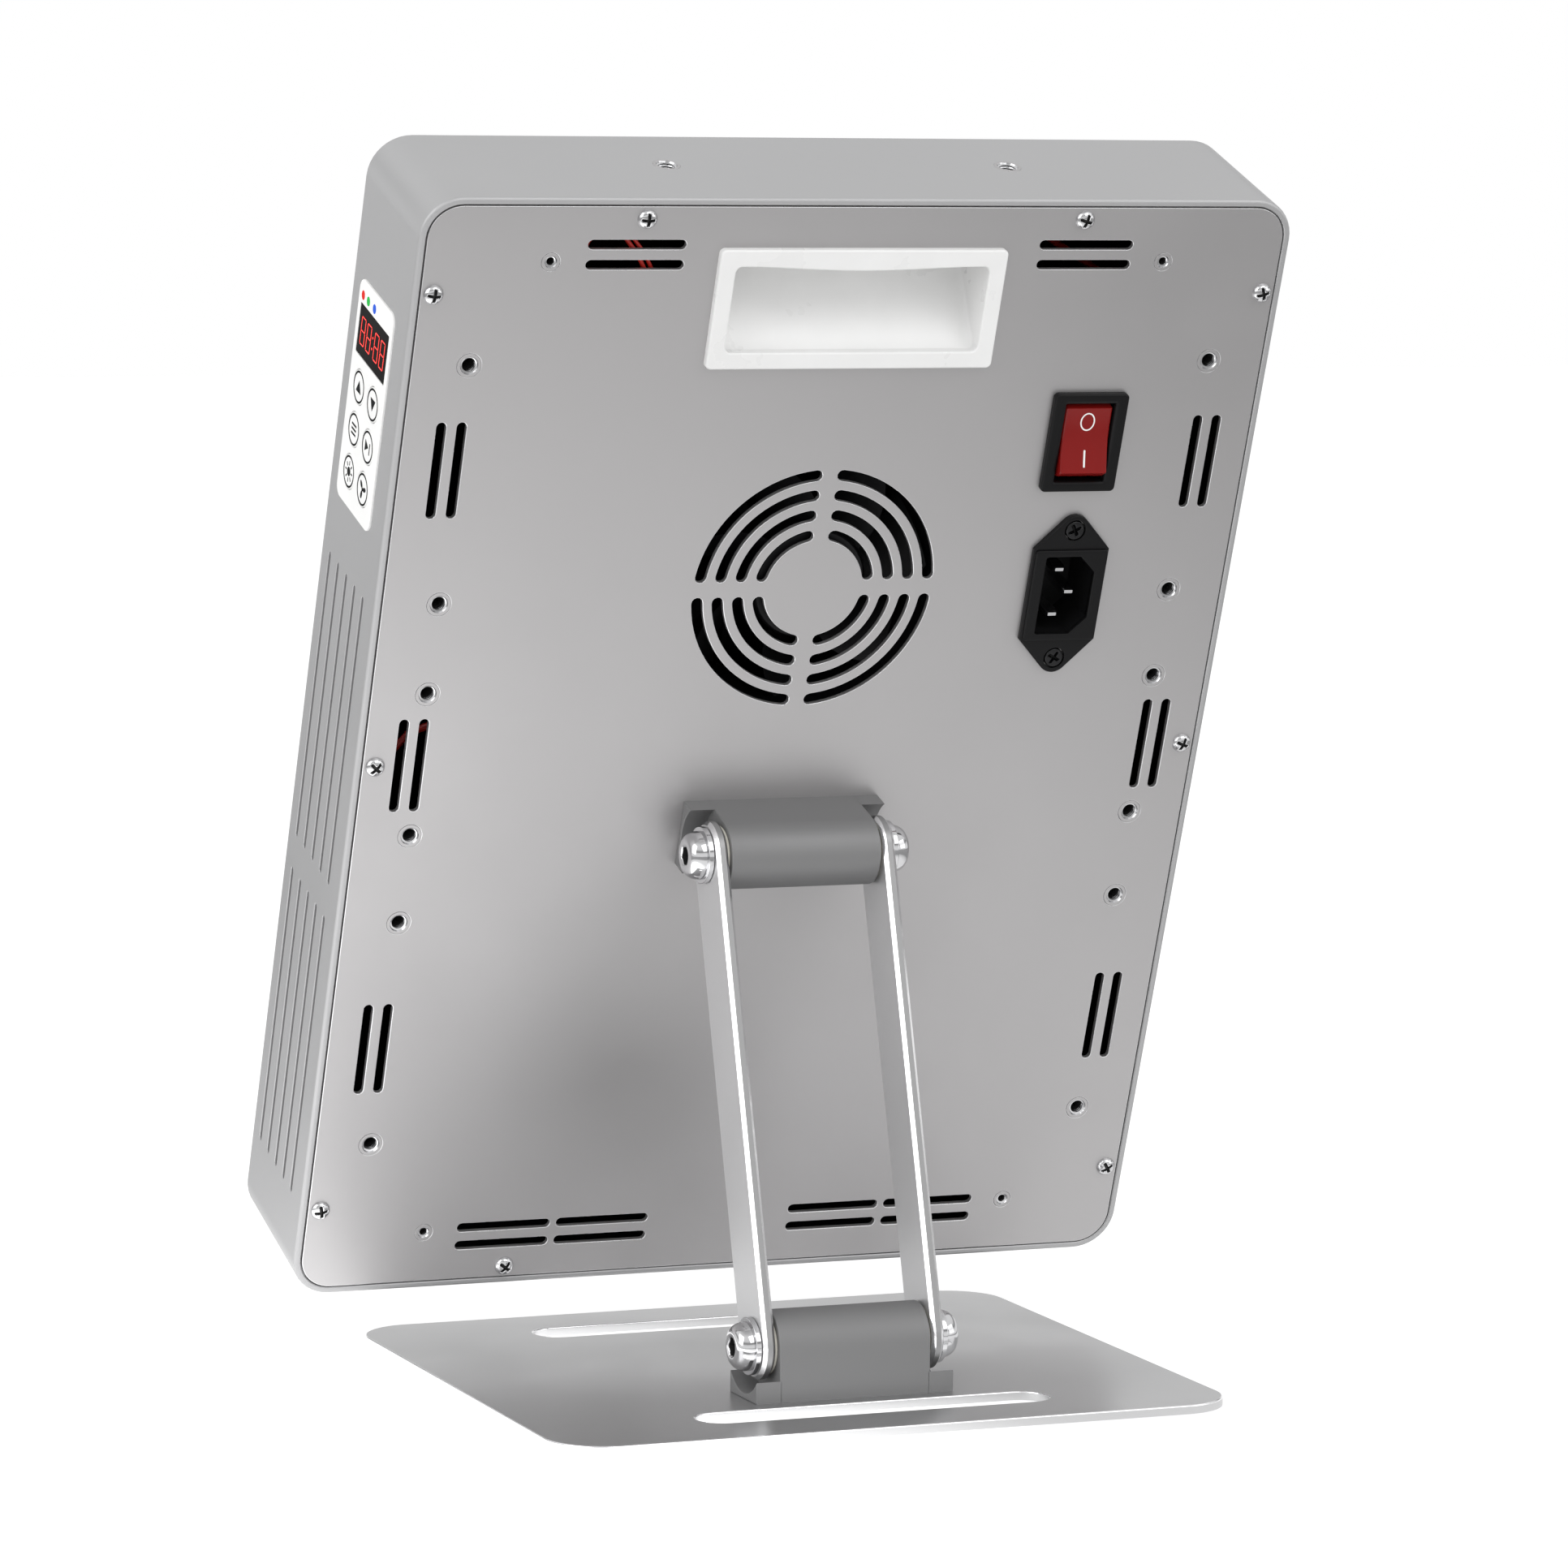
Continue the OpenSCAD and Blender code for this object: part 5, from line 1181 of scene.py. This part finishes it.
class PANEL_OT_power_inlet(bpy.types.Operator):
    """Power inlet: a black flange with a raised block, a keyed socket, blades and two screws"""
    bl_idname = "panel.power_inlet"
    bl_label = "Power Inlet"

    def execute(self, context):
        fit, finish = context.scene.panel_fittings, context.scene.panel_finish
        place = rear_place(*INLET_UV)
        foot, top, ear = -0.05 * MM, fit.inlet_t, fit.inlet_t - 0.8 * MM
        screw_hole, hole_edge = circle_line(3.2 * MM, 28), round_edge(foot, ear, 0.2 * MM, 3)
        flange = plate([inlet_line(fit), screw_hole + (0, INLET_SCREW_V),
                        screw_hole - (0, INLET_SCREW_V), socket_line()],
                       round_edge(foot, ear, 0.5 * MM, 3), hole_edge, hole_edge, hole_edge)
        body = plate([box_line(fit.inlet_w - 0.9 * MM, fit.inlet_side - 0.2 * MM, 0.9 * MM, 4),
                      socket_line()], round_edge(0.5 * MM, top, 0.4 * MM, 3),
                     round_edge(0.5 * MM, top, 0.35 * MM, 3))
        well = [level(socket_line(), 1 * MM), level(socket_line(-0.3 * MM), -13.4 * MM)]
        cup = [level(socket_line(1.6 * MM), z) for z in (-16.5 * MM, 0.3 * MM)]
        form = join(flange, body, skin(well, last=True), skin(cup, first=True))
        make("inlet_piece", put(form, place), "head", [black_plastic(finish)], ["inlet_body"])

        blade_line = box_line(3.9 * MM, 1.9 * MM, 0.3 * MM, 3)
        blade = skin([level(blade_line * (1 - 0.35 * taper, 1 - 0.5 * taper), z * MM)
                      for taper, z in ((0, -14), (0, -2.2), (0.35, -1.2), (1, -0.4))], last=True)
        make("inlet_blades_piece", put(repeat(blade, BLADE_SPOTS), place), "head",
             [polished("blade_metal", (0.55, 0.55, 0.56), 0.2)], ["inlet_pins"])
        head = cross_screw(2.9 * MM, 0.5 * MM, recess=0.5, flat=0.8, shank=1.4 * MM)
        screws = [at(spun(head, 0.5 * s), 0, s * INLET_SCREW_V, ear - 0.5 * MM) for s in (-1, 1)]
        # The screws' cross recesses take the darker black plastic as painted shade.
        make("inlet_screws_piece", put(join(*screws), place), "head",
             [polished("black_screw", (0.035, 0.035, 0.036), 0.3), black_plastic(finish)],
             ["inlet_screws"], smooth=60)
        return {"FINISHED"}


# ---------------------------------------------------------------- key panel

KEY_DEPTH = 25.5 * MM              # of the overlay's middle from the rear
OVERLAY_V = 98.6 * MM              # height of the overlay's middle over the cover's
KEY_SPOTS = {"key_up": (-1, 1), "key_down": (1, 1), "key_mode": (-1, 0), "key_play": (1, 0),
             "key_brightness": (-1, -1), "key_fan": (1, -1)}
KEY_MIDDLE = -9.9 * MM             # height of the middle key row over the overlay's middle
KEY_STEP = np.array([6.35, 12.65]) * MM      # half a column and a whole row
DISPLAY_V = 18.3 * MM              # height of the display over the overlay's middle
DISPLAY_WINDOW = (26 * MM, 14.5 * MM, 0.4 * MM, 3)
LAMP_V = 28 * MM                   # height of the lamp dots over the overlay's middle
# The lamp dots: ink, colour and place across the overlay
LAMPS = (("red_dot", (0.75, 0.03, 0.02), -11.5 * MM), ("green_dot", (0.03, 0.5, 0.08), -6.8 * MM),
         ("blue_dot", (0.03, 0.12, 0.7), -1.2 * MM))


def ink(line, *holes, base=0.0, thick=0.05 * MM, mark=0):
    """A printed shape: a film raised a little over a surface at the height base."""
    return plate([line, *holes], [(0, base - thick), (0, base + thick)], marks=[mark],
                 lids=(mark, mark))


def symbol(name):
    """The printed symbol of a key, in lines about the key's middle."""
    m = 1.4 * MM
    triangle = np.array([(-1.5, -1.1), (1.5, -1.1), (0, 1.4)]) * m
    if name == "key_up":
        return ink(triangle)
    if name == "key_down":
        return ink(triangle * (1, -1))
    if name == "key_mode":
        return join(*[ink(box_line(2.8 * m, 0.42 * m) + (0, v * m)) for v in (-0.95, 0, 0.95)])
    if name == "key_play":
        arrow = triangle[:, ::-1] * (0.8, 0.8) - (0.6 * m, 0)
        return join(ink(arrow), ink(box_line(0.4 * m, 2.4 * m) + (1.3 * m, 0)))
    if name == "key_brightness":
        ray = ink(box_line(0.9 * m, 0.32 * m) + (1.75 * m, 0))
        return join(ink(circle_line(0.95 * m, 20)), all_round(ray, 8))
    t = full_turn(20)
    leaf = np.column_stack([1.15 + 0.85 * np.cos(t), 0.32 + 0.5 * np.sin(t) + 0.2 * np.cos(t)])
    return join(ink(circle_line(0.4 * m, 16)), all_round(ink(leaf * m), 3))


class PANEL_OT_key_panel(bpy.types.Operator):
    """Key panel: a white film with a display window, three coloured dots and six printed keys"""
    bl_idname = "panel.key_panel"
    bl_label = "Key Panel"

    def execute(self, context):
        case, fit = context.scene.panel_case, context.scene.panel_fittings
        place = key_side(case, KEY_DEPTH, OVERLAY_V)
        t, film = fit.overlay_t, plastic("key_film", (0.93, 0.93, 0.92), 0.4, 0.003 * MM)
        window = box_line(*DISPLAY_WINDOW) + (0, DISPLAY_V)
        spots = {name: np.array(cell) * KEY_STEP + (0, KEY_MIDDLE)
                 for name, cell in KEY_SPOTS.items()}
        holes = [circle_line(5.2 * MM, 40) + spot for spot in spots.values()]
        sheet = plate([box_line(fit.overlay_w, fit.overlay_h, 3.5 * MM, 10), window] + holes,
                      round_edge(0, t, 0.18 * MM, 3))
        make("key_film_piece", put(sheet, place), "head", [film], ["key_overlay"])
        dots = [at(ink(circle_line(1.35 * MM, 24), base=t, mark=n), a, LAMP_V, 0)
                for n, (_, _, a) in enumerate(LAMPS)]
        make("lamp_dots_piece", put(join(*dots), place), "head",
             [printing(name, colour) for name, colour, _ in LAMPS])
        black = printing("black_ink", (0.015, 0.015, 0.016))
        cap = plate([circle_line(fit.key_r, 40)], round_edge(-0.8 * MM, t, 0.3 * MM, 4))
        band = ink(circle_line(4.6 * MM, 48), circle_line(4.02 * MM, 48), base=t)
        for name, spot in spots.items():
            here = seat(place[3] + spot @ place[:2], place[0], place[1])
            make(f"{name}_piece", put(cap, here), name, [film], [name])
            make(f"{name}_print", put(join(at(symbol(name), 0, 0, t), band), here), name, [black])
        return {"FINISHED"}


# The segments of a digit: place across and up in half sizes, and whether it stands
SEGMENTS = ((0, 1, 0), (1, 0.5, 1), (1, -0.5, 1), (0, -1, 0), (-1, -0.5, 1), (-1, 0.5, 1),
            (0, 0, 0))


def seven_segments(width, height, line):
    """All seven segments of a digit, each a long hexagon with pointed ends."""
    parts, gap = [], 0.16 * MM
    for across, up, upright in SEGMENTS:
        size = (height / 2 if upright else width) - gap
        h, tip = line / 2, size / 2 - line / 2
        bar = np.array([(-size / 2, 0), (-tip, -h), (tip, -h), (size / 2, 0), (tip, h), (-tip, h)])
        bar = bar[:, ::-1] if upright else bar
        parts.append(ink(bar + (across * width / 2, up * height / 2)))
    return join(*parts)


class PANEL_OT_display(bpy.types.Operator):
    """Display: a black window with four lit digits and a colon"""
    bl_idname = "panel.display"
    bl_label = "Display"

    def execute(self, context):
        case, fit = context.scene.panel_case, context.scene.panel_fittings
        finish = context.scene.panel_finish
        place = key_side(case, KEY_DEPTH, OVERLAY_V + DISPLAY_V)
        play, edge = 0.1 * MM, 0.15 * MM
        pane = plate([box_line(*DISPLAY_WINDOW, inset=play)],
                     round_edge(-5 * MM, fit.overlay_t - edge, edge, 3))
        make("display_piece", put(pane, place), "head",
             [plastic("display_window", (0.004, 0.003, 0.003), 0.3, 0.001 * MM,
                      Specular_IOR_Level=0.02)], ["display_module"])
        outer, inner, dot = 8.7 * MM, 3.4 * MM, 1.6 * MM
        digits = repeat(seven_segments(3.4 * MM, 7.8 * MM, 0.3 * MM),
                        [(a, 0) for a in (-outer, -inner, inner, outer)])
        colon = repeat(ink(circle_line(0.35 * MM, 16)), [(0, -dot), (0, dot)])
        face = at(join(digits, colon), 0, 0, fit.overlay_t - 0.13 * MM)
        make("digits_piece", put(face, place), "head", [lit("lit_digits", finish.glow, 0.9)])
        return {"FINISHED"}


# ---------------------------------------------------------------- front and inside

class PANEL_OT_front(bpy.types.Operator):
    """Front: a white plate behind the lip with rows of clear domed lenses over the chips"""
    bl_idname = "panel.front"
    bl_label = "LED Front"

    def execute(self, context):
        case = context.scene.panel_case
        front = seat(COVER_MIDDLE - case.depth * OUTWARD, -RIGHT, UPWARD)
        lip, plate_t, lens_h, dome, r, play = (size * MM for size in (1.5, 2, 5, 1.2, 11, 0.2))
        spots = [((i - 2.5) * 39 * MM, (j - 4) * 34.5 * MM) for i in range(6) for j in range(9)]
        outline = box_line(case.width, case.height, case.corner, 10, inset=case.wall + play)
        holes = [circle_line(r + 0.3 * MM, 40) + spot for spot in spots]
        sheet = plate([outline] + holes, round_edge(-lip - plate_t, -lip, 0.25 * MM, 3))
        make("front_plate_piece", put(sheet, front), "head",
             [surface("front_white", (0.80, 0.80, 0.79), roughness=0.4, grain=0.5 * MM,
                      relief=0.004 * MM, tone=0.02)], ["front_plate"])
        t = np.radians(np.linspace(0, 84, 9))
        foot, sink, axis = -lip - lens_h, 0.24 * MM, 0.02 * r
        cup = [(axis, foot + 2.6 * MM), (3.6 * MM, foot + 2.2 * MM), (4.7 * MM, foot + 1.4 * MM),
               (5 * MM, foot), (r, foot)]
        body = [(r * math.cos(a), -lip + dome * math.sin(a) - sink) for a in t]
        lens = lathe([*cup, *body, (axis, -lip + dome - sink)], 32, first=True, last=True)
        make("lenses_piece", put(repeat(lens, spots), front), "head",
             [see_through("lens_clear", (0.97, 0.98, 0.99), 0.03, 1.49)], ["lens_array"])
        profile = [(3.4, 0), (3.4, 0.6), (3.1, 0.9), (2.4, 1.05), (1.2, 1.1), (0.2, 1.1)]
        chip = lathe(np.array(profile) * MM, 24, first=True, last=True)
        make("chips_piece", put(at(repeat(chip, spots), 0, 0, foot), front), "head",
             [surface("led_phosphor", (0.78, 0.62, 0.18), roughness=0.25, grain=0.3 * MM,
                      relief=0.006 * MM, patch=2 * MM)], ["led_chips"])
        return {"FINISHED"}


class PANEL_OT_fan(bpy.types.Operator):
    """Fan: seven swept blades whose pitch lessens outwards, on a round hub"""
    bl_idname = "panel.fan"
    bl_label = "Fan"

    def execute(self, context):
        case = context.scene.panel_case
        place = rear_place(0, case.grille_v, -case.cover_t)
        hub, tip, top, tall, thick = 17 * MM, 36.6 * MM, -3 * MM, 17 * MM, 1.6 * MM
        s = np.linspace(0, 1, 12)[:, None]
        q = np.linspace(0, 1, 14)[None, :]
        root = hub - 0.6 * MM
        radius = root + (tip - root) * s
        turn = 0.35 * s**1.5 + math.radians(38) * (q - 0.5) * (hub / radius) ** 0.4
        height = top - tall * (0.08 + 0.84 * q)
        swell = thick / 2 * np.sqrt(np.clip(4 * q * (1 - q), 0, 1)) * (1 - 0.35 * s)

        def face(side):
            """Points (r cos t, r sin t, z) of one face, off the middle surface by the swell."""
            t = turn + side * swell / radius
            return np.stack([radius * np.cos(t), radius * np.sin(t),
                             np.broadcast_to(height, t.shape)], axis=-1)
        around = np.concatenate([face(1), face(-1)[:, ::-1]], axis=1)
        rim, dish = top + 1.5 * MM, top + 1.3 * MM
        cap = [(hub, top - tall - 1.5 * MM), (hub, top + 0.7 * MM), (hub - 0.8 * MM, rim),
               (hub - 4 * MM, rim), (hub - 4.2 * MM, dish), (1 * MM, dish)]
        wheel = join(all_round(skin(around, first=True, last=True), 7),
                     lathe(cap, 48, first=True, last=True))
        make("fan_rotor_piece", put(wheel, place), "fan", [fan_plastic()], ["fan_rotor"],
             smooth=45)
        return {"FINISHED"}


class PANEL_OT_inside(bpy.types.Operator):
    """Inside: the fan's leads, a dark sheet of painted shade behind the far vents, and materials
    for inner parts
    """
    bl_idname = "panel.inside"
    bl_label = "Inside"

    def execute(self, context):
        case = context.scene.panel_case
        red = plastic("wire_red", (0.50, 0.02, 0.012), 0.35, 0.003 * MM)
        zinc = polished("zinc_steel", (0.62, 0.62, 0.64), 0.28)
        green = surface("circuit_board", (0.02, 0.16, 0.07), roughness=0.35, grain=0.8 * MM,
                        relief=0.01 * MM, tone=0.25, patch=3 * MM)
        paint(green, "key_board", "control_board")
        # The near black of the drivers and the heat sink is their own colour and also painted shade
        # that keeps the slots dark.
        paint(plastic("driver_housing", (0.012, 0.012, 0.013), 0.5), "led_drivers")
        paint(satin("black_anodised_and_shade", (0.02, 0.02, 0.021), 0.5), "heat_sink", "sink_spacers")
        paint(surface("board_white", (0.72, 0.72, 0.70), roughness=0.4, grain=0.6 * MM,
                      relief=0.006 * MM, tone=0.06, patch=6 * MM), "led_board")
        paint(fan_plastic(), "fan_frame")
        paint(polished("brass_pin", (0.62, 0.52, 0.30), 0.2), "control_standoffs")
        paint(zinc, "lower_bracket_screws", "upper_bracket_screws", "backing_plate", "fan_studs",
              "fan_nuts", "sink_screws")
        paint(red, "wire_harness")
        route = np.array([(-37, 91, -6), (-48, 112, -5), (-56, 134, -4), (-63.5, 148.5, -3.3),
                          (-67.7, 154.4, -3.3), (-73, 159, -5.5), (-80, 153, -9), (-79, 133, -13),
                          (-71, 108, -18), (-64, 88, -22), (-63, 78, -22.8)]) * MM
        beside = np.array([2.0, 0.3, 0]) * MM
        leads = join(tube(route, 0.65 * MM), tube(route + beside, 0.55 * MM))
        make("fan_leads_piece", put(leads, rear_place()), "head", [red])
        # A near-black sheet behind the far vents: painted shade, so that they read dark.
        film = plate([box_line(36 * MM, 204 * MM, 2 * MM, 4)],
                     round_edge(-2.5 * MM, -2.2 * MM, 0.05 * MM, 2))
        make("far_vent_shade_sheet_piece", put(film, far_side(case, 25.8 * MM, -46 * MM)), "head",
             [plastic("far_vent_shade_sheet", (0.01, 0.01, 0.01), 0.6, Specular_IOR_Level=0.1)])
        return {"FINISHED"}


# ---------------------------------------------------------------- stage

CAMERA_SPOT = (0.706805, 1.7418885, 0.3723455)
CAMERA_TURN = (83.8878, -0.62568, 158.0492)      # degrees
CAMERA_LENS = 151.955                            # millimetres, on a 36 mm sensor

# Grey of the surroundings by height, from straight down at 0 to straight up at 1, and of the
# floor's reflection by distance from a spot in front of the cover
SKY = ((0.0, 0.80), (0.5, 0.95), (0.56, 1.0), (0.62, 0.9), (0.66, 0.35), (0.70, 0.4), (0.76, 0.9),
       (0.9, 0.95), (1.0, 0.5))
POOL = ((0.0, 1.0), (0.07, 1.0), (0.1, 0.45), (0.16, 0.42), (0.2, 0.27), (0.24, 0.06),
        (0.6, 0.08), (1.0, 0.08))
POOL_MIDDLE, POOL_REACH, POOL_STRENGTH = (0.2, 0.04, 0), 2.5, 2.7
POOL_SHARE = 0.7                                 # of the pool in what reflections see
FLOOR_GLOW, GLOW_SHARE = 1.4, 0.55               # of the white that only the camera sees
WHITE = (1, 1, 1, 1)

# Soft lights: name, spot, target, side of the square in metres and power in watts
LIGHTS = (("Key light", (2.6, 0.9, 1.7), (0, 0, 0.15), 2.4, 34),
          ("Fill light", (-2.4, 1.8, 1.2), (0, 0, 0.2), 1.8, 10),
          ("Rear light", (-0.7, 2.3, 2.1), (0, 0.05, 0), 1.8, 15))


def grey_ramp(tree, stops):
    """A ramp of greys for shares from 0 to 1."""
    ramp = add(tree, "ShaderNodeValToRGB")
    for n, (spot, grey) in enumerate(stops):
        stop = ramp.color_ramp.elements[n] if n < 2 else ramp.color_ramp.elements.new(spot)
        stop.position, stop.color = spot, (grey, grey, grey, 1)
    return ramp


def soft_light(name, spot, target, size, power):
    """A square area light at a spot that faces a target."""
    lamp = bpy.data.lights.new(name, "AREA")
    lamp.size, lamp.energy = size, power
    light = bpy.data.objects.new(name, lamp)
    light.location = spot
    light.rotation_euler = (Vector(target) - Vector(spot)).to_track_quat("-Z", "Y").to_euler()
    bpy.context.scene.collection.objects.link(light)


class PANEL_OT_stage(bpy.types.Operator):
    """Stage: camera, white floor, even white surroundings and soft lights"""
    bl_idname = "panel.stage"
    bl_label = "Stage"

    def execute(self, context):
        scene = context.scene
        lens = bpy.data.cameras.new("Camera")
        lens.lens, lens.sensor_width = CAMERA_LENS, 36
        camera = bpy.data.objects.new("Camera", lens)
        camera.location = CAMERA_SPOT
        camera.rotation_euler = [math.radians(a) for a in CAMERA_TURN]
        scene.collection.objects.link(camera)
        scene.camera = camera
        scene.view_settings.view_transform = "Standard"
        self.surroundings(scene)
        self.floor(scene)
        for light in LIGHTS:
            soft_light(*light)
        return {"FINISHED"}

    @staticmethod
    def surroundings(scene):
        """White to the camera; for light and reflections, white at the horizon and darker above.

        The grey follows the height z of the direction through a ramp.
        """
        world = bpy.data.worlds.new("Studio")
        world.use_nodes = True
        scene.world = world
        tree = world.node_tree
        tree.nodes.clear()
        direction, split = add(tree, "ShaderNodeTexCoord"), add(tree, "ShaderNodeSeparateXYZ")
        rise, sky = add(tree, "ShaderNodeMapRange", From_Min=-1), grey_ramp(tree, SKY)
        around = add(tree, "ShaderNodeBackground")
        white = add(tree, "ShaderNodeBackground", Color=WHITE)
        path, mix = add(tree, "ShaderNodeLightPath"), add(tree, "ShaderNodeMixShader")
        output = add(tree, "ShaderNodeOutputWorld")
        wire(tree, (direction, "Generated", split, "Vector"), (split, "Z", rise, "Value"),
             (rise, "Result", sky, "Fac"), (sky, "Color", around, "Color"),
             (path, "Is Camera Ray", mix, "Fac"), (around, "Background", mix, 1),
             (white, "Background", mix, 2), (mix, "Shader", output, "Surface"))

    @staticmethod
    def floor(scene):
        """A wide pale floor. The camera sees it white but for the shadow, as a mix of a plain
        matte floor and a white glow. Reflections see a glow that fades with the distance from
        the object, by a ramp, as a lit sweep does."""
        half = 6.0
        mesh = bpy.data.meshes.new("Floor")
        mesh.from_pydata([(-half, -half, 0), (half, -half, 0), (half, half, 0), (-half, half, 0)],
                         [], [(0, 1, 2, 3)])
        floor = bpy.data.objects.new("Floor", mesh)
        scene.collection.objects.link(floor)
        material = bpy.data.materials.new("Floor")
        material.use_nodes = True
        mesh.materials.append(material)
        tree = material.node_tree
        tree.nodes.clear()
        matte = add(tree, "ShaderNodeBsdfDiffuse", Color=(0.9, 0.9, 0.9, 1))
        white = add(tree, "ShaderNodeEmission", Color=WHITE, Strength=FLOOR_GLOW)
        path, share = add(tree, "ShaderNodeLightPath"), add(tree, "ShaderNodeMath")
        share.operation = "MULTIPLY"
        share.inputs[1].default_value = GLOW_SHARE
        place, away = add(tree, "ShaderNodeTexCoord"), add(tree, "ShaderNodeVectorMath")
        away.operation = "DISTANCE"
        away.inputs[1].default_value = POOL_MIDDLE
        spread, pool = add(tree, "ShaderNodeMapRange", From_Max=POOL_REACH), grey_ramp(tree, POOL)
        glow = add(tree, "ShaderNodeEmission", Strength=POOL_STRENGTH)
        mirrored = add(tree, "ShaderNodeMixShader", Fac=POOL_SHARE)
        seen, last = add(tree, "ShaderNodeMixShader"), add(tree, "ShaderNodeMixShader")
        output = add(tree, "ShaderNodeOutputMaterial")
        wire(tree, (path, "Is Camera Ray", share, 0), (share, "Value", seen, "Fac"),
             (matte, "BSDF", seen, 1), (white, "Emission", seen, 2),
             (place, "Object", away, 0), (away, "Value", spread, "Value"),
             (spread, "Result", pool, "Fac"), (pool, "Color", glow, "Color"),
             (matte, "BSDF", mirrored, 1), (glow, "Emission", mirrored, 2),
             (path, "Is Glossy Ray", last, "Fac"), (seen, "Shader", last, 1),
             (mirrored, "Shader", last, 2), (last, "Shader", output, "Surface"))


# ---------------------------------------------------------------- add-on

PIECES = (PANEL_OT_base_plate, PANEL_OT_brackets, PANEL_OT_pivots, PANEL_OT_arms, PANEL_OT_case,
          PANEL_OT_cover, PANEL_OT_cover_screws, PANEL_OT_inserts, PANEL_OT_handle,
          PANEL_OT_power_switch, PANEL_OT_power_inlet, PANEL_OT_key_panel, PANEL_OT_display,
          PANEL_OT_front, PANEL_OT_fan, PANEL_OT_inside, PANEL_OT_stage)
GROUPS = (("panel_stand", PANEL_PG_stand), ("panel_case", PANEL_PG_case),
          ("panel_fittings", PANEL_PG_fittings), ("panel_finish", PANEL_PG_finish))


class PANEL_PT_pieces(bpy.types.Panel):
    """Lists the pieces and their sizes in the 3D view's sidebar"""
    bl_idname = "PANEL_PT_pieces"
    bl_label = "Tabletop Light Panel"
    bl_space_type = "VIEW_3D"
    bl_region_type = "UI"
    bl_category = "Light Panel"

    def draw(self, context):
        for piece in PIECES:
            self.layout.operator(piece.bl_idname)
        for name, group in GROUPS:
            box = self.layout.box()
            for key in group.__annotations__:
                box.prop(getattr(context.scene, name), key)


CLASSES = (*[group for _, group in GROUPS], *PIECES, PANEL_PT_pieces)


def register():
    for item in CLASSES:
        bpy.utils.register_class(item)
    for name, group in GROUPS:
        setattr(bpy.types.Scene, name, bpy.props.PointerProperty(type=group))


def unregister():
    for name, _ in GROUPS:
        delattr(bpy.types.Scene, name)
    for item in reversed(CLASSES):
        bpy.utils.unregister_class(item)


def corners(bounds):
    """A box's two corners as plain lists of numbers."""
    return [[float(value) for value in corner] for corner in bounds]


def main():
    """Builds every piece."""
    register()
    for piece in PIECES:
        family, name = piece.bl_idname.split(".")
        getattr(getattr(bpy.ops, family), name)()


if __name__ == "__main__":
    main()
